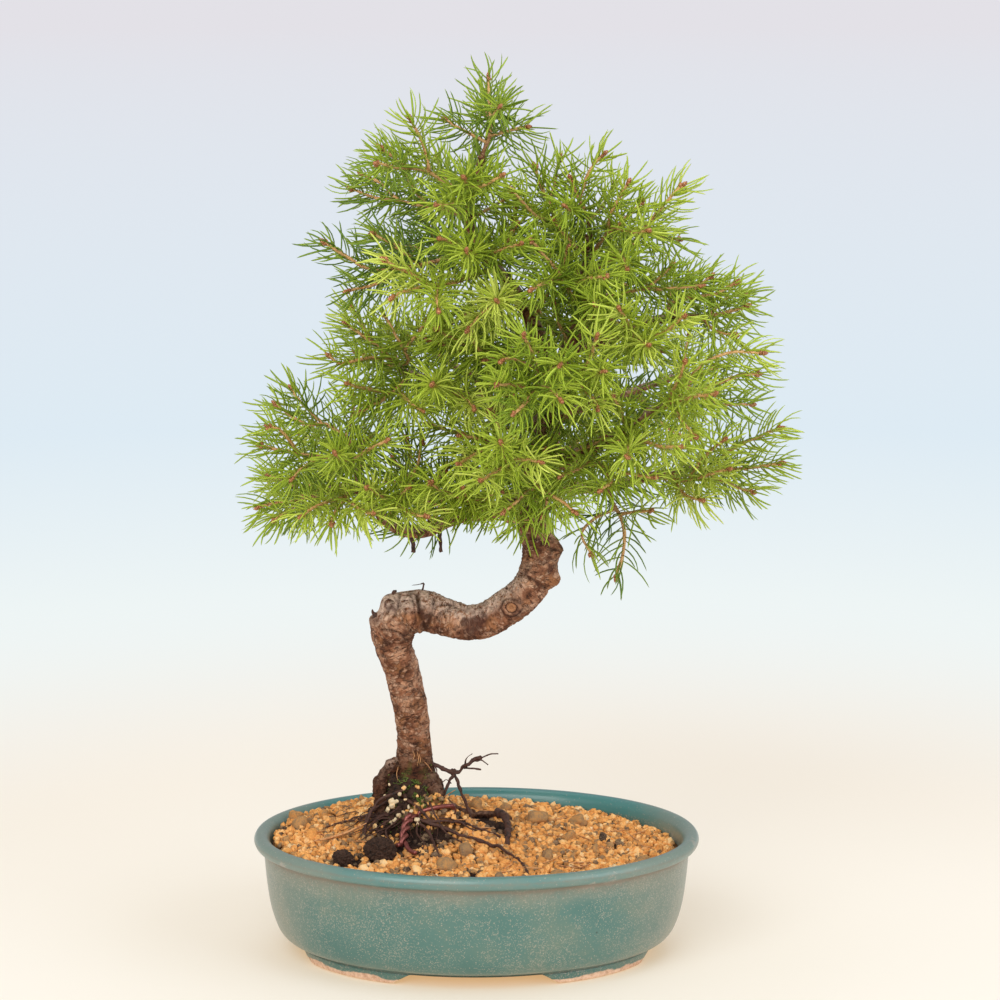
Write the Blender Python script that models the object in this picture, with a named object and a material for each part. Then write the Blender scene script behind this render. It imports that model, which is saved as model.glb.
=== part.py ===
"""A spruce bonsai in an oval glazed pot, at life size.

Lengths below are millimetres from the middle of the pot's foot, +Z up, with the tree's front
towards -Y. Each mesh is scaled to metres as it is made. At the end the whole object is moved so
that its box stands centred on the origin.
"""

import math
import random

import bmesh
import bpy
import numpy as np
from mathutils import Vector, noise
from mathutils.bvhtree import BVHTree
from mathutils.geometry import delaunay_2d_cdt

METRES = 0.001
GAP = 0.35

# Pot: an oval whose long and short half-axes differ by the same amount at every height.
POT_LENGTH = 190.0
POT_WIDTH = 149.0
POT_HEIGHT = 52.0
POT_SIDES = 32
FLOOR_TOP = 10.0
FLOOR_UNDER = 5.0
FLOOR_EDGE = 72.0
DRAIN_X = 35.0
DRAIN_RADIUS = 8.0
FRONT_NOTCH = 64.0
END_NOTCH = 40.0
# Outside of the pot, then its inside, as (half length, height).
POT_OUTSIDE = [
    (68.0, FLOOR_UNDER), (68.5, 0.0), (75.6, 0.0), (76.2, 4.6), (81.4, 6.2), (84.6, 11.0),
    (88.0, 20.0), (90.8, 46.0), (94.2, 47.0), (95.0, 49.3), (92.6, POT_HEIGHT),
]
POT_INSIDE = [(88.2, 51.4), (86.8, 44.0), (85.4, 28.0), (81.0, 14.0), (FLOOR_EDGE, FLOOR_TOP)]

# Soil: its level at the pot's middle, how it falls to the right and front, and the mound at the trunk.
SOIL_LEVEL = 46.5
SOIL_SLOPE = (-0.035, 0.03)
MOUND = (-27.0, 16.0)
MOUND_HEIGHT = 10.0
MOUND_SPREAD = 22.0
GRIT_PITCH = 6.8
GRIT_RELIEF = 2.2
GRIT_CELL = 9.0

# Plastic net over each drain hole.
NET_SIZE = 24.0
NET_BAR = 2.2
NET_HOLES = 3
NET_THICK = 1.0

# Trunk: points with the radius there, from its foot in the soil to the tip of the right leader.
TRUNK = [
    ((-27, 18, 46), 11.5), ((-27, 18, 56), 11.0), ((-27, 18, 66), 9.6), ((-27, 18, 76), 8.2),
    ((-27, 18, 89), 7.3), ((-29, 17, 104), 7.2), ((-32, 16, 118), 7.5), ((-35, 14, 128), 8.2),
    ((-35, 13, 135), 8.8), ((-33, 12, 141), 9.0), ((-28.5, 11.5, 145), 8.9), ((-22.5, 11, 146.5), 8.7),
    ((-16, 10, 145), 8.4), ((-10, 9, 142.5), 7.9), ((-3, 8, 141), 7.5), ((5, 7, 143), 7.6),
    ((13, 6, 147.5), 7.7), ((20, 5, 153.5), 7.7), ((24.5, 5, 160), 7.6), ((26.5, 5, 168), 7.5),
    ((26, 5, 177), 7.1), ((23.5, 5, 187), 6.7), ((23, 5, 198), 6.3), ((26, 6, 210), 5.9),
    ((30, 7, 223), 5.4), ((35, 8, 240), 4.9), ((39, 8, 257), 4.2), ((43, 8, 269), 3.6),
    ((45, 7, 284), 3.0), ((47, 7, 295), 2.4), ((47, 7, 305), 1.8),
]
TRUNK_SIDES = 10
TRUNK_FOOT_POINTS = 6
# Swellings of the bark: where on the trunk, the way each faces, how far it stands out, its spread.
SWELLINGS = [
    ((-40, 13, 148), (-0.8, 0.0, 0.6), 4.6, 9.0),
    ((-44, 14, 137), (-1.0, -0.2, -0.1), 1.8, 5.0),
    ((-29, 10, 118), (0.6, -0.8, 0.0), 1.3, 5.0),
    ((-9, 2, 141), (0.1, -1.0, 0.1), 1.1, 5.0),
    ((14, 0, 147), (0.2, -1.0, 0.3), 1.6, 5.0),
    ((33, 4, 166), (1.0, -0.2, 0.1), 2.6, 4.5),
    ((34, 5, 176), (1.0, -0.1, 0.2), 2.2, 4.0),
    ((-36, 16, 66), (-1.0, -0.3, 0.0), 3.4, 9.0),
    ((-18, 14, 70), (0.9, -0.5, 0.0), 2.2, 8.0),
]

# Branches grown into the trunk: points along each, then its radius at the foot and at the tip.
LIMBS = {
    "leader": ([(34, 8, 240), (29, 4, 256), (23, 2, 269), (16, 0, 282), (7, 0, 293), (0, 0, 303),
                (-3, 0, 311), (-2, 0, 320), (1, 0, 330), (3, 0, 339)], 3.8, 1.6),
    "left_branch": ([(23, 5, 194), (7, 0, 190), (-3, -3, 189), (-11, -5, 187), (-20, -8, 183),
                     (-29, -10, 183), (-37, -10, 187), (-42, -9, 193), (-47, -8, 199), (-55, -6, 201),
                     (-62, -4, 199)], 4.2, 1.5),
    "left_riser": ([(-46, -8, 197), (-49, -5, 205), (-48, -2, 212), (-48, 2, 218)], 2.0, 1.4),
    "mid_left": ([(31, 7, 224), (13, 14, 230), (-8, 14, 238), (-21, 10, 244), (-31, 6, 248)], 3.4, 1.5),
    "right_branch": ([(26, 6, 209), (36, -2, 211), (42, -6, 214), (52, -10, 220), (61, -12, 225),
                      (72, -12, 233), (83, -10, 239)], 4.0, 1.6),
    "right_low": ([(24, 5, 200), (38, 16, 197), (57, 26, 196), (76, 30, 200), (92, 30, 203)], 3.2, 1.5),
    "right_mid": ([(39, 8, 256), (52, 14, 260), (69, 18, 266), (86, 18, 270)], 2.8, 1.5),
    "front_low": ([(24, 5, 204), (23, -12, 209), (20, -30, 213), (15, -44, 216)], 2.6, 1.5),
    "front_mid": ([(35, 8, 239), (35, -12, 242), (29, -34, 247), (24, -50, 251)], 2.6, 1.5),
    "back_low": ([(27, 6, 213), (30, 24, 216), (34, 44, 220), (36, 62, 223)], 2.6, 1.5),
    "back_left": ([(31, 7, 224), (19, 28, 232), (3, 46, 239), (-12, 58, 245)], 2.6, 1.5),
    "back_mid": ([(40, 8, 261), (46, 26, 266), (53, 44, 272), (58, 56, 276)], 2.6, 1.5),
    "back_right": ([(31, 7, 227), (48, 28, 231), (69, 46, 235), (85, 56, 239)], 2.8, 1.5),
}
LIMB_SIDES = 5
THIN_SIDES = 4

# Surface roots and dead stubs, as branches are given.
ROOTS = {
    "left_root": ([(-30, 17, 74), (-38, 15, 70), (-43, 13, 62), (-44, 9, 54), (-44, 2, 46)], 6.0, 3.2),
    "right_root": ([(-24, 16, 72), (-17, 12, 66), (-14, 8, 58), (-10, 2, 49)], 5.0, 2.6),
    "front_root": ([(-28, 14, 66), (-29, 6, 60), (-31, -3, 52), (-33, -12, 44)], 4.6, 2.4),
    "back_root": ([(-25, 22, 64), (-18, 32, 56), (-10, 40, 46)], 4.6, 2.4),
    "broken_root": ([(-14, 10, 60), (-4, 16, 54.5), (9, 28, 51), (14, 29, 49.5), (15, 24, 45)], 2.2, 1.6),
    "dead_root": ([(-20, 16, 77), (-10, 14, 74), (-5, 12, 77), (2, 10, 81)], 1.2, 0.8),
    "dead_fork": ([(-6, 12.4, 76), (2, 9, 76)], 0.8, 0.7),
    "dead_leg": ([(-10, 14, 74), (-7, 13, 66), (-3, 13, 56), (-2, 13, 50)], 0.9, 0.8),
    "long_root": ([(-25, 8, 59), (-18, 2, 55.5), (-7.8, -6.7, 51.6), (4, -9.6, 48.9), (13.4, -13.4, 47.2),
                   (18.8, -26, 45.6), (22, -40, 44.4)], 1.1, 0.8),
    "crossing_root": ([(-14, 3, 56), (-2, -2, 52), (9, 0.4, 48.9), (14, 2, 46)], 1.1, 0.9),
}
STUBS = {
    "elbow_stub": ([(-33, 10, 144), (-43, 9, 143)], 3.0, 2.2),
    "elbow_twig": ([(-24, 11, 150), (-23.5, 11, 157.5), (-27, 10.5, 161)], 0.9, 0.7),
    "branch_stub": ([(-27, -10, 181), (-26, -12, 174)], 1.3, 1.0),
    "branch_peg": ([(-15, -6, 184), (-14, -9, 174)], 1.0, 0.8),
}

# Tie wire: one length whose middle runs under the pot and whose ends are twisted at the trunk's foot.
WIRE_RADIUS = 0.8
WIRE_TWIST = [(-29.5, 0, 63), (-31, -6, 60.5), (-33, -14, 56.5), (-34, -20, 53.5)]
WIRE_TURN = 5.5
WIRE_SIDES = 4
TWIST_SIDES = 6
TWIST_SINK = 0.1
TWIST_FLAT = 0.55
WIRE_PIECES = 3
WIRE_ENDS = [[(-34, -19, 54), (-33, -25, 51.5)], [(-34, -19, 54), (-38, -23, 53)]]
WIRE_LEGS = [
    [(-29.5, 0, 63), (-35, -2, 61.5), (-37, -4, 57), (-36, -3, 44), (-DRAIN_X, 0, 14), (-DRAIN_X, 0, 2.6)],
    [(-29.5, 0, 63), (-21, -1, 61), (-17, -3, 56), (-6, -4, 40), (28, 0, 20), (DRAIN_X, 0, 14), (DRAIN_X, 0, 2.6)],
]
WIRE_UNDER = [(-DRAIN_X - 0.3, 0, 3.2), (0, 0, 3.2), (DRAIN_X + 0.3, 0, 3.2)]

# Things lying on the soil.
TWIG_RADIUS = 0.6
CLODS = {"peat_clod_1": ((-40, -29, 50.5), (7.0, 6.0, 5.0)), "peat_clod_2": ((-55, -37, 49.5), (4.6, 4.0, 3.4))}
DRY_TWIG = [(-69, -16, 50.4), (-62, -12.5, 50.9), (-55, -8.5, 51.8), (-47, -4, 54.2)]

# Needles: the real ones are as long and wide, and stand far closer.
NEEDLE_LENGTH = 13.0
NEEDLE_RADIUS = 0.45
NEEDLE_PITCH = 10.2
NEEDLE_FIRST = 0.22
NEEDLE_LEAN = math.radians(52)
NEEDLE_CLEAR = 0.4
CORE_SIDES = 4
CORE_RADII = (1.3, 0.9)
SIDE_CORE_SIDES = 3
TIP_REACH = 4.0
SEAT_STEPS = 8
SIDE_CORE_RADII = (1.2, 0.95)

# Sprays: the branch each grows from, then the routes of its twigs. The first route starts beside
# that branch and each later one starts on an earlier route. The tips follow the photographed
# crown from the front, and fill it evenly at the sides and back.
SPRAYS = {
    "apex": ("leader", [
        [(3, 0, 339), (6, 0, 347), (6, 1, 359), (5, 2, 370)],
        [(5, 0, 343), (-5, 6, 348), (-12, 10, 352)],
        [(6, 0, 346), (13, -8, 348), (21, -12, 350)],
        [(6, 0, 353), (9, -14, 357), (10, -26, 359)],
        [(6, 0, 349), (4, 16, 355), (3, 28, 360)],
    ]),
    "upper_left_a": ("leader", [
        [(-2, 0, 318), (-12, -8, 326), (-19, -12, 332), (-29, -16, 335), (-38, -20, 342)],
        [(-19, -12, 331), (-21, -14, 343), (-26, -18, 354)],
        [(-26, -15, 334), (-33, -30, 335), (-39, -42, 337)],
    ]),
    "upper_left_b": ("leader", [
        [(-3, 0, 312), (-13, 8, 315), (-31, 16, 318), (-39, 20, 325), (-48, 24, 329)],
        [(-30, 16, 318), (-42, 24, 319), (-52, 30, 322)],
        [(-19, 12, 316), (-27, 22, 324), (-31, 30, 334)],
        [(-10, 6, 316), (-6, 22, 318), (-13, 42, 326), (-17, 52, 334)],
        [(-7, 28, 320), (0, 42, 329), (4, 50, 337)],
    ]),
    "upper_front": ("leader", [
        [(-2, 0, 321), (-3, -20, 326), (-5, -38, 331)],
        [(-3, -18, 325), (4, -32, 328), (11, -40, 332)],
        [(-2, -10, 323), (-10, -32, 320), (-15, -46, 321)],
    ]),
    "left_shelf": ("leader", [
        [(1, 0, 301), (-19, -4, 294), (-42, -8, 292), (-53, -10, 297), (-62, -12, 303)],
        [(-31, -6, 293), (-41, -14, 286), (-52, -20, 284)],
        [(-23, -5, 294), (-32, -14, 301), (-42, -20, 307)],
        [(-15, -3, 295), (-13, 22, 296), (-31, 42, 297), (-45, 54, 301)],
        [(-24, 36, 297), (-34, 54, 289), (-42, 66, 284)],
        [(-15, 26, 297), (-20, 44, 305), (-25, 56, 311)],
    ]),
    "left_bright": ("leader", [
        [(8, -1, 292), (-5, -22, 289), (-17, -36, 288), (-27, -48, 294), (-36, -56, 300)],
        [(-14, -34, 288), (-15, -54, 285), (-14, -70, 281)],
        [(-18, -38, 289), (-27, -52, 287), (-33, -60, 285)],
    ]),
    "rosette_left": ("leader", [
        [(17, 0, 280), (12, -24, 280), (9, -46, 282), (8, -66, 285)],
        [(13, -20, 280), (4, -40, 278), (-3, -52, 272)],
    ]),
    "front_crown": ("leader", [
        [(4, -1, 297), (1, -22, 299), (-2, -44, 301), (-3, -58, 304)],
        [(1, -20, 299), (10, -36, 302), (18, -48, 306)],
        [(2, -16, 299), (-7, -34, 304), (-14, -46, 307)],
    ]),
    "inner_left": ("leader", [
        [(27, 3, 261), (10, -4, 257), (-6, -12, 259), (-19, -20, 264)],
        [(6, -6, 257), (1, -26, 261), (-2, -40, 269)],
        [(0, -10, 259), (-10, -26, 266), (-16, -38, 270)],
    ]),
    "mid_left_tip": ("mid_left", [
        [(-31, 6, 248), (-39, 2, 257), (-46, 0, 263), (-54, -2, 268)],
        [(-36, 4, 254), (-45, -8, 255), (-55, -16, 254), (-60, -20, 258)],
        [(-43, 1, 260), (-48, 10, 268), (-52, 16, 274)],
        [(-33, 5, 250), (-28, 0, 253), (-31, -6, 261), (-38, -10, 273)],
        [(-31, -3, 258), (-23, -14, 267), (-19, -22, 273)],
    ]),
    "mid_left_low": ("mid_left", [
        [(-27, 8, 246), (-32, -8, 243), (-40, -20, 238), (-47, -28, 235)],
        [(-33, -9, 242), (-27, -30, 240), (-21, -46, 238)],
        [(-36, -12, 240), (-45, -24, 245), (-52, -34, 248)],
    ]),
    "mid_left_front": ("mid_left", [
        [(-8, 13, 238), (-11, -10, 242), (-15, -36, 247), (-17, -60, 251)],
        [(-12, -16, 243), (-4, -36, 242), (0, -52, 240)],
    ]),
    "mid_left_back": ("mid_left", [
        [(-15, 12, 241), (-27, 28, 243), (-41, 42, 247), (-52, 50, 251)],
        [(-28, 29, 243), (-38, 44, 234), (-48, 54, 228)],
        [(-33, 34, 244), (-36, 48, 254), (-40, 58, 261)],
    ]),
    "left_up_tip": ("left_riser", [
        [(-48, 1, 216), (-55, 2, 221), (-63, 4, 226), (-72, 4, 226), (-83, 4, 234)],
        [(-54, 2, 221), (-52, 10, 229), (-52, 16, 236)],
        [(-64, 4, 226), (-74, 12, 234), (-78, 18, 239)],
        [(-53, 2, 219), (-55, 20, 213), (-66, 38, 214), (-77, 50, 216)],
        [(-56, 22, 213), (-61, 42, 202), (-68, 54, 195)],
        [(-52, 12, 214), (-45, 30, 217), (-38, 42, 222)],
    ]),
    "left_mid_tip": ("left_riser", [
        [(-48, -3, 211), (-58, -8, 213), (-69, -12, 215), (-81, -14, 218), (-89, -16, 220)],
        [(-65, -11, 214), (-72, -28, 211), (-75, -38, 209)],
        [(-73, -13, 216), (-79, -20, 226), (-85, -24, 229)],
        [(-54, -6, 212), (-51, -24, 214), (-55, -42, 219), (-56, -56, 223)],
        [(-52, -26, 215), (-43, -40, 222), (-35, -50, 227)],
    ]),
    "left_end": ("left_branch", [
        [(-61, -5, 199), (-68, -6, 197), (-75, -8, 195), (-82, -10, 195), (-90, -12, 193)],
        [(-71, -7, 196), (-78, 4, 201), (-88, 12, 203)],
        [(-74, -8, 196), (-78, -24, 193), (-82, -34, 192)],
        [(-65, -5, 198), (-65, 14, 198), (-78, 30, 196), (-90, 40, 196)],
        [(-67, 17, 198), (-72, 34, 187), (-77, 44, 180)],
    ]),
    "left_under": ("left_branch", [
        [(-52, -7, 201), (-54, -20, 198), (-58, -30, 194), (-59, -36, 190)],
        [(-54, -20, 198), (-46, -40, 197), (-41, -52, 197)],
        [(-54, -18, 198), (-64, -34, 198), (-71, -44, 195)],
    ]),
    "left_knee": ("left_branch", [
        [(-35, -10, 186), (-34, -22, 195), (-30, -36, 202), (-26, -46, 207)],
        [(-33, -24, 196), (-39, -38, 203), (-44, -50, 208)],
        [(-33, -28, 198), (-26, -42, 196), (-20, -52, 196)],
    ]),
    "left_twig": ("left_branch", [
        [(-19, -8, 184), (-20, -4, 190), (-23, 0, 197), (-28, 4, 203), (-35, 8, 211)],
        [(-23, 0, 195), (-16, -8, 204), (-12, -14, 211)],
        [(-27, 3, 202), (-35, 14, 200), (-43, 22, 200)],
        [(-30, 5, 205), (-27, -6, 216), (-29, -14, 223)],
    ]),
    "left_inner_front": ("left_branch", [
        [(-3, -4, 189), (-3, -20, 196), (-4, -36, 203), (-5, -50, 208)],
        [(-3, -16, 195), (4, -34, 201), (10, -46, 205)],
        [(-4, -26, 199), (-13, -38, 204), (-18, -46, 209)],
    ]),
    "left_inner_back": ("left_branch", [
        [(-11, -4, 187), (-15, 18, 189), (-21, 38, 192), (-27, 54, 195)],
        [(-16, 22, 189), (-9, 38, 195), (-4, 50, 199)],
        [(-18, 28, 190), (-28, 44, 187), (-36, 56, 186)],
    ]),
    "heart_left": ("front_low", [
        [(22, -18, 210), (12, -24, 218), (3, -30, 224), (-5, -34, 226)],
        [(12, -25, 219), (10, -36, 229), (6, -44, 238)],
        [(6, -28, 222), (-1, -44, 220), (-7, -56, 218)],
    ]),
    "front_low_tip": ("front_low", [
        [(15, -44, 216), (12, -58, 221), (11, -72, 228), (10, -84, 232)],
        [(14, -48, 217), (7, -62, 215), (2, -74, 215)],
        [(13, -54, 219), (20, -68, 222), (26, -80, 223)],
    ]),
    "front_low_drop": ("front_low", [
        [(19, -32, 213), (24, -38, 208), (29, -42, 202), (28, -44, 195)],
        [(25, -39, 207), (17, -48, 202), (12, -54, 199)],
        [(27, -41, 205), (34, -52, 203), (40, -58, 199)],
    ]),
    "front_mid_tip": ("front_mid", [
        [(24, -50, 251), (23, -62, 248), (20, -74, 245), (15, -84, 242)],
        [(24, -54, 250), (30, -70, 250), (34, -82, 247)],
        [(23, -58, 249), (15, -70, 252), (8, -80, 254)],
        [(24, -56, 250), (25, -62, 258), (22, -70, 266), (19, -78, 272)],
        [(26, -48, 255), (33, -66, 259), (34, -80, 261)],
        [(24, -56, 261), (15, -68, 262), (10, -76, 262)],
    ]),
    "front_mid_right": ("front_mid", [
        [(34, -20, 244), (41, -36, 250), (48, -52, 254), (51, -66, 257)],
        [(40, -35, 249), (46, -50, 245), (49, -60, 241)],
        [(42, -40, 251), (46, -52, 261), (48, -62, 270)],
    ]),
    "right_leader_top": ("trunk", [
        [(47, 7, 305), (46, 4, 313), (42, 0, 321), (39, -4, 328)],
        [(46, 5, 310), (53, 14, 317), (58, 20, 325)],
        [(45, 3, 315), (39, -16, 317), (36, -28, 319)],
        [(43, 1, 320), (46, 0, 330), (52, -4, 339)],
    ]),
    "leader_fork_left": ("trunk", [
        [(47, 7, 296), (37, 2, 306), (29, -2, 321), (24, -4, 334)],
        [(34, 0, 311), (25, -16, 314), (15, -28, 326)],
        [(30, -1, 318), (33, 6, 328), (35, 10, 336)],
    ]),
    "leader_fork_right": ("trunk", [
        [(46, 7, 293), (53, 2, 304), (59, -4, 310), (68, -10, 320)],
        [(54, 1, 305), (56, -4, 315), (63, -10, 328)],
        [(57, -2, 308), (65, -18, 308), (70, -30, 309)],
    ]),
    "right_shoulder": ("trunk", [
        [(45, 7, 286), (56, 6, 294), (65, 2, 302), (74, -2, 314), (85, -6, 326)],
        [(68, 1, 305), (76, 12, 304), (85, 18, 302)],
        [(59, 5, 297), (61, -16, 296), (61, -34, 295)],
    ]),
    "right_upper_shelf": ("trunk", [
        [(44, 8, 277), (58, 2, 280), (72, -4, 285), (81, -8, 293)],
        [(68, -2, 284), (81, -10, 284), (92, -14, 286)],
        [(54, 4, 279), (52, -20, 279), (48, -44, 281)],
    ]),
    "leader_front": ("trunk", [
        [(43, 8, 270), (39, -10, 282), (33, -26, 293), (22, -38, 306)],
        [(38, -13, 284), (46, -30, 290), (52, -44, 292)],
        [(34, -22, 290), (28, -40, 289), (22, -54, 288)],
    ]),
    "right_mid_tip": ("right_mid", [
        [(86, 18, 270), (95, 14, 270), (104, 10, 272), (113, 6, 275)],
        [(94, 15, 270), (100, 4, 265), (107, -4, 264)],
        [(97, 14, 270), (106, 26, 276), (114, 34, 277)],
        [(90, 16, 270), (80, 14, 274), (89, 10, 280), (98, 6, 288)],
        [(85, 11, 278), (97, 4, 280), (108, 0, 285)],
        [(78, 14, 273), (83, 28, 279), (90, 38, 285)],
    ]),
    "right_mid_front": ("right_mid", [
        [(60, 16, 262), (64, -10, 263), (67, -34, 264), (69, -54, 266)],
        [(65, -14, 263), (76, -30, 268), (84, -44, 276)],
        [(66, -24, 264), (61, -40, 274), (57, -52, 280)],
    ]),
    "right_branch_tip": ("right_branch", [
        [(83, -10, 239), (93, -10, 242), (105, -10, 247), (116, -10, 249)],
        [(87, -10, 240), (91, -12, 251), (104, -14, 258), (118, -14, 258)],
        [(90, -10, 241), (102, -2, 235), (115, 6, 234)],
    ]),
    "right_branch_front": ("right_branch", [
        [(72, -12, 233), (80, -30, 239), (89, -46, 244), (96, -56, 247)],
        [(77, -24, 237), (81, -38, 248), (84, -48, 258)],
        [(79, -28, 238), (84, -44, 233), (88, -54, 229)],
    ]),
    "right_branch_mid": ("right_branch", [
        [(61, -12, 225), (66, -28, 224), (74, -44, 224), (83, -56, 225)],
        [(64, -24, 225), (62, -46, 223), (61, -64, 222)],
        [(63, -20, 224), (59, -36, 236), (55, -48, 245)],
    ]),
    "right_branch_low": ("right_branch", [
        [(46, -8, 215), (51, -26, 213), (55, -40, 209), (50, -54, 207)],
        [(52, -28, 212), (63, -42, 212), (72, -52, 212)],
        [(49, -18, 214), (41, -38, 213), (34, -50, 212)],
    ]),
    "right_low_tip": ("right_low", [
        [(92, 30, 203), (102, 24, 203), (113, 18, 205), (128, 12, 208)],
        [(98, 27, 203), (107, 20, 212), (118, 14, 219), (128, 10, 223)],
        [(95, 29, 203), (105, 14, 200), (116, 4, 197)],
    ]),
    "right_low_front": ("right_low", [
        [(76, 30, 200), (84, 6, 202), (93, -12, 206), (104, -24, 211)],
        [(82, 10, 202), (87, -8, 198), (93, -20, 198)],
        [(89, -4, 204), (94, -16, 215), (102, -26, 224)],
    ]),
    "hanging": ("right_low", [
        [(55, 25, 196), (58, 18, 190), (62, 12, 182), (62, 8, 171), (59, 6, 160)],
        [(59, 16, 188), (50, 8, 185), (44, 2, 179), (48, 0, 171)],
        [(60, 14, 186), (68, 2, 189), (73, -8, 192)],
    ]),
    "back_low_tip": ("back_low", [
        [(36, 62, 223), (39, 76, 225), (42, 88, 227)],
        [(37, 66, 223), (47, 80, 215), (56, 90, 210)],
        [(36, 64, 223), (26, 78, 215), (17, 88, 210)],
    ]),
    "back_low_drop": ("back_low", [
        [(32, 34, 218), (36, 46, 209), (39, 56, 198), (41, 62, 189)],
        [(36, 47, 208), (47, 62, 201), (57, 72, 196)],
        [(35, 42, 212), (24, 58, 204), (14, 68, 198)],
    ]),
    "back_left_tip": ("back_left", [
        [(-12, 58, 245), (-21, 70, 249), (-31, 80, 254)],
        [(-13, 61, 246), (-16, 74, 236), (-20, 84, 227)],
        [(-16, 64, 247), (-14, 76, 256), (-13, 84, 264)],
    ]),
    "back_left_mid": ("back_left", [
        [(10, 38, 236), (6, 52, 245), (2, 64, 254), (0, 72, 263)],
        [(7, 49, 243), (13, 66, 249), (19, 78, 254)],
        [(7, 46, 241), (0, 66, 231), (-5, 80, 224)],
    ]),
    "back_mid_tip": ("back_mid", [
        [(58, 56, 276), (61, 68, 282), (63, 76, 288)],
        [(59, 60, 278), (69, 74, 278), (78, 82, 279)],
        [(59, 58, 277), (51, 74, 273), (44, 84, 270)],
    ]),
    "back_mid_low": ("back_mid", [
        [(49, 35, 268), (60, 50, 260), (71, 62, 254), (81, 70, 249)],
        [(58, 47, 262), (55, 62, 250), (53, 74, 241)],
        [(55, 43, 264), (40, 62, 259), (30, 76, 256)],
    ]),
    "back_crown": ("trunk", [
        [(45, 8, 282), (41, 28, 289), (36, 46, 298), (31, 56, 306)],
        [(42, 24, 287), (53, 42, 295), (61, 52, 304)],
        [(38, 39, 294), (25, 54, 294), (15, 64, 294)],
    ]),
    "back_right_tip": ("back_right", [
        [(85, 56, 239), (94, 64, 239), (105, 70, 241)],
        [(86, 58, 239), (93, 72, 229), (98, 80, 221)],
        [(89, 61, 239), (91, 74, 247), (93, 82, 254)],
    ]),
    "back_right_low": ("back_right", [
        [(69, 46, 235), (75, 56, 224), (84, 64, 215), (94, 68, 210)],
        [(74, 55, 225), (70, 70, 215), (66, 80, 207)],
        [(72, 51, 230), (63, 68, 229), (54, 82, 229)],
    ]),
}


def clear_scene():
    for thing in list(bpy.data.objects):
        bpy.data.objects.remove(thing)


def make_material(name, colour, roughness, coat=0.0):
    material = bpy.data.materials.new(name)
    material.use_nodes = True
    shader = material.node_tree.nodes["Principled BSDF"]
    shader.inputs["Base Color"].default_value = (*colour, 1.0)
    shader.inputs["Roughness"].default_value = roughness
    shader.inputs["Metallic"].default_value = 0.0
    shader.inputs["Coat Weight"].default_value = coat
    return material


def make_mesh(name, points, faces, *materials):
    """A mesh from points in millimetres."""
    mesh = bpy.data.meshes.new(name)
    mesh.from_pydata((np.asarray(points, float) * METRES).tolist(), [], faces)
    for material in materials:
        mesh.materials.append(material)
    return mesh


def make_object(name, mesh):
    thing = bpy.data.objects.new(name, mesh)
    bpy.context.scene.collection.objects.link(thing)
    return thing


def shade_round(thing, sharpest):
    """Smooth shading, apart from edges sharper than this many degrees."""
    thing.data.shade_smooth()
    thing.data.set_sharp_from_angle(angle=math.radians(sharpest))


def grown(grow, sides):
    """How much a tube's corners move out so that its flat sides move out by grow."""
    return grow / math.cos(math.pi / sides)


def ring_faces(rings, sides, first=0):
    """Quads between rings that turn anticlockwise as seen from the last ring."""
    faces = []
    for i in range(rings - 1):
        for j in range(sides):
            low = first + i * sides
            high = low + sides
            k = (j + 1) % sides
            faces.append((low + j, low + k, high + k, high + j))
    return faces


def smooth_path(points, pieces):
    """Catmull-Rom curve through rows of numbers, with this many pieces between each two."""
    rows = np.asarray(points, float)
    ends = np.vstack([2 * rows[0] - rows[1], rows, 2 * rows[-1] - rows[-2]])
    t = np.linspace(0, 1, pieces, endpoint=False)[:, None]
    path = []
    for a, b, c, d in zip(ends[:-3], ends[1:-2], ends[2:-1], ends[3:]):
        path.append(0.5 * (2 * b + (c - a) * t + (2 * a - 5 * b + 4 * c - d) * t**2 + (3 * b - a - 3 * c + d) * t**3))
    return np.vstack([*path, rows[-1:]])


def unit(vector):
    return vector / np.linalg.norm(vector)


def carried_frames(path):
    """The tangent at each point of a path, and two square directions carried along without twist."""
    tangents = np.gradient(path, axis=0)
    tangents /= np.linalg.norm(tangents, axis=1)[:, None]
    side = unit(np.cross(tangents[0], (0.31, 0.87, 0.21)))
    sides = []
    for tangent in tangents:
        side = unit(side - tangent * (side @ tangent))
        sides.append(side)
    sides = np.array(sides)
    return tangents, sides, np.cross(tangents, sides)


def tube(path, radii, sides, turn=0.0, flat=1.0, swell=None):
    """Points and faces of a closed tube along a path. turn twists its section, flat makes that oval."""
    path = np.asarray(path, float)
    _, across, up = carried_frames(path)
    around = np.arange(sides) * 2 * math.pi / sides
    turned = np.linspace(0, turn, len(path))[:, None]
    a = np.cos(around) * np.cos(turned) - flat * np.sin(around) * np.sin(turned)
    b = np.cos(around) * np.sin(turned) + flat * np.sin(around) * np.cos(turned)
    out = across[:, None] * a[..., None] + up[:, None] * b[..., None]
    points = path[:, None] + out * np.broadcast_to(radii, len(path))[:, None, None]
    if swell is not None:
        points = swell(points, out)
    faces = ring_faces(len(path), sides)
    faces.append(tuple(range(sides - 1, -1, -1)))
    faces.append(tuple(range((len(path) - 1) * sides, len(path) * sides)))
    return points.reshape(-1, 3), faces


def tube_mesh(name, path, radii, sides, *materials, **shape):
    return make_mesh(name, *tube(path, radii, sides, **shape), *materials)


def join(name, meshes, solver):
    """One Boolean union of all the meshes, applied, after which the loose pieces are removed."""
    return combined(name, meshes[0], meshes[1:], "UNION", solver)


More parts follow.
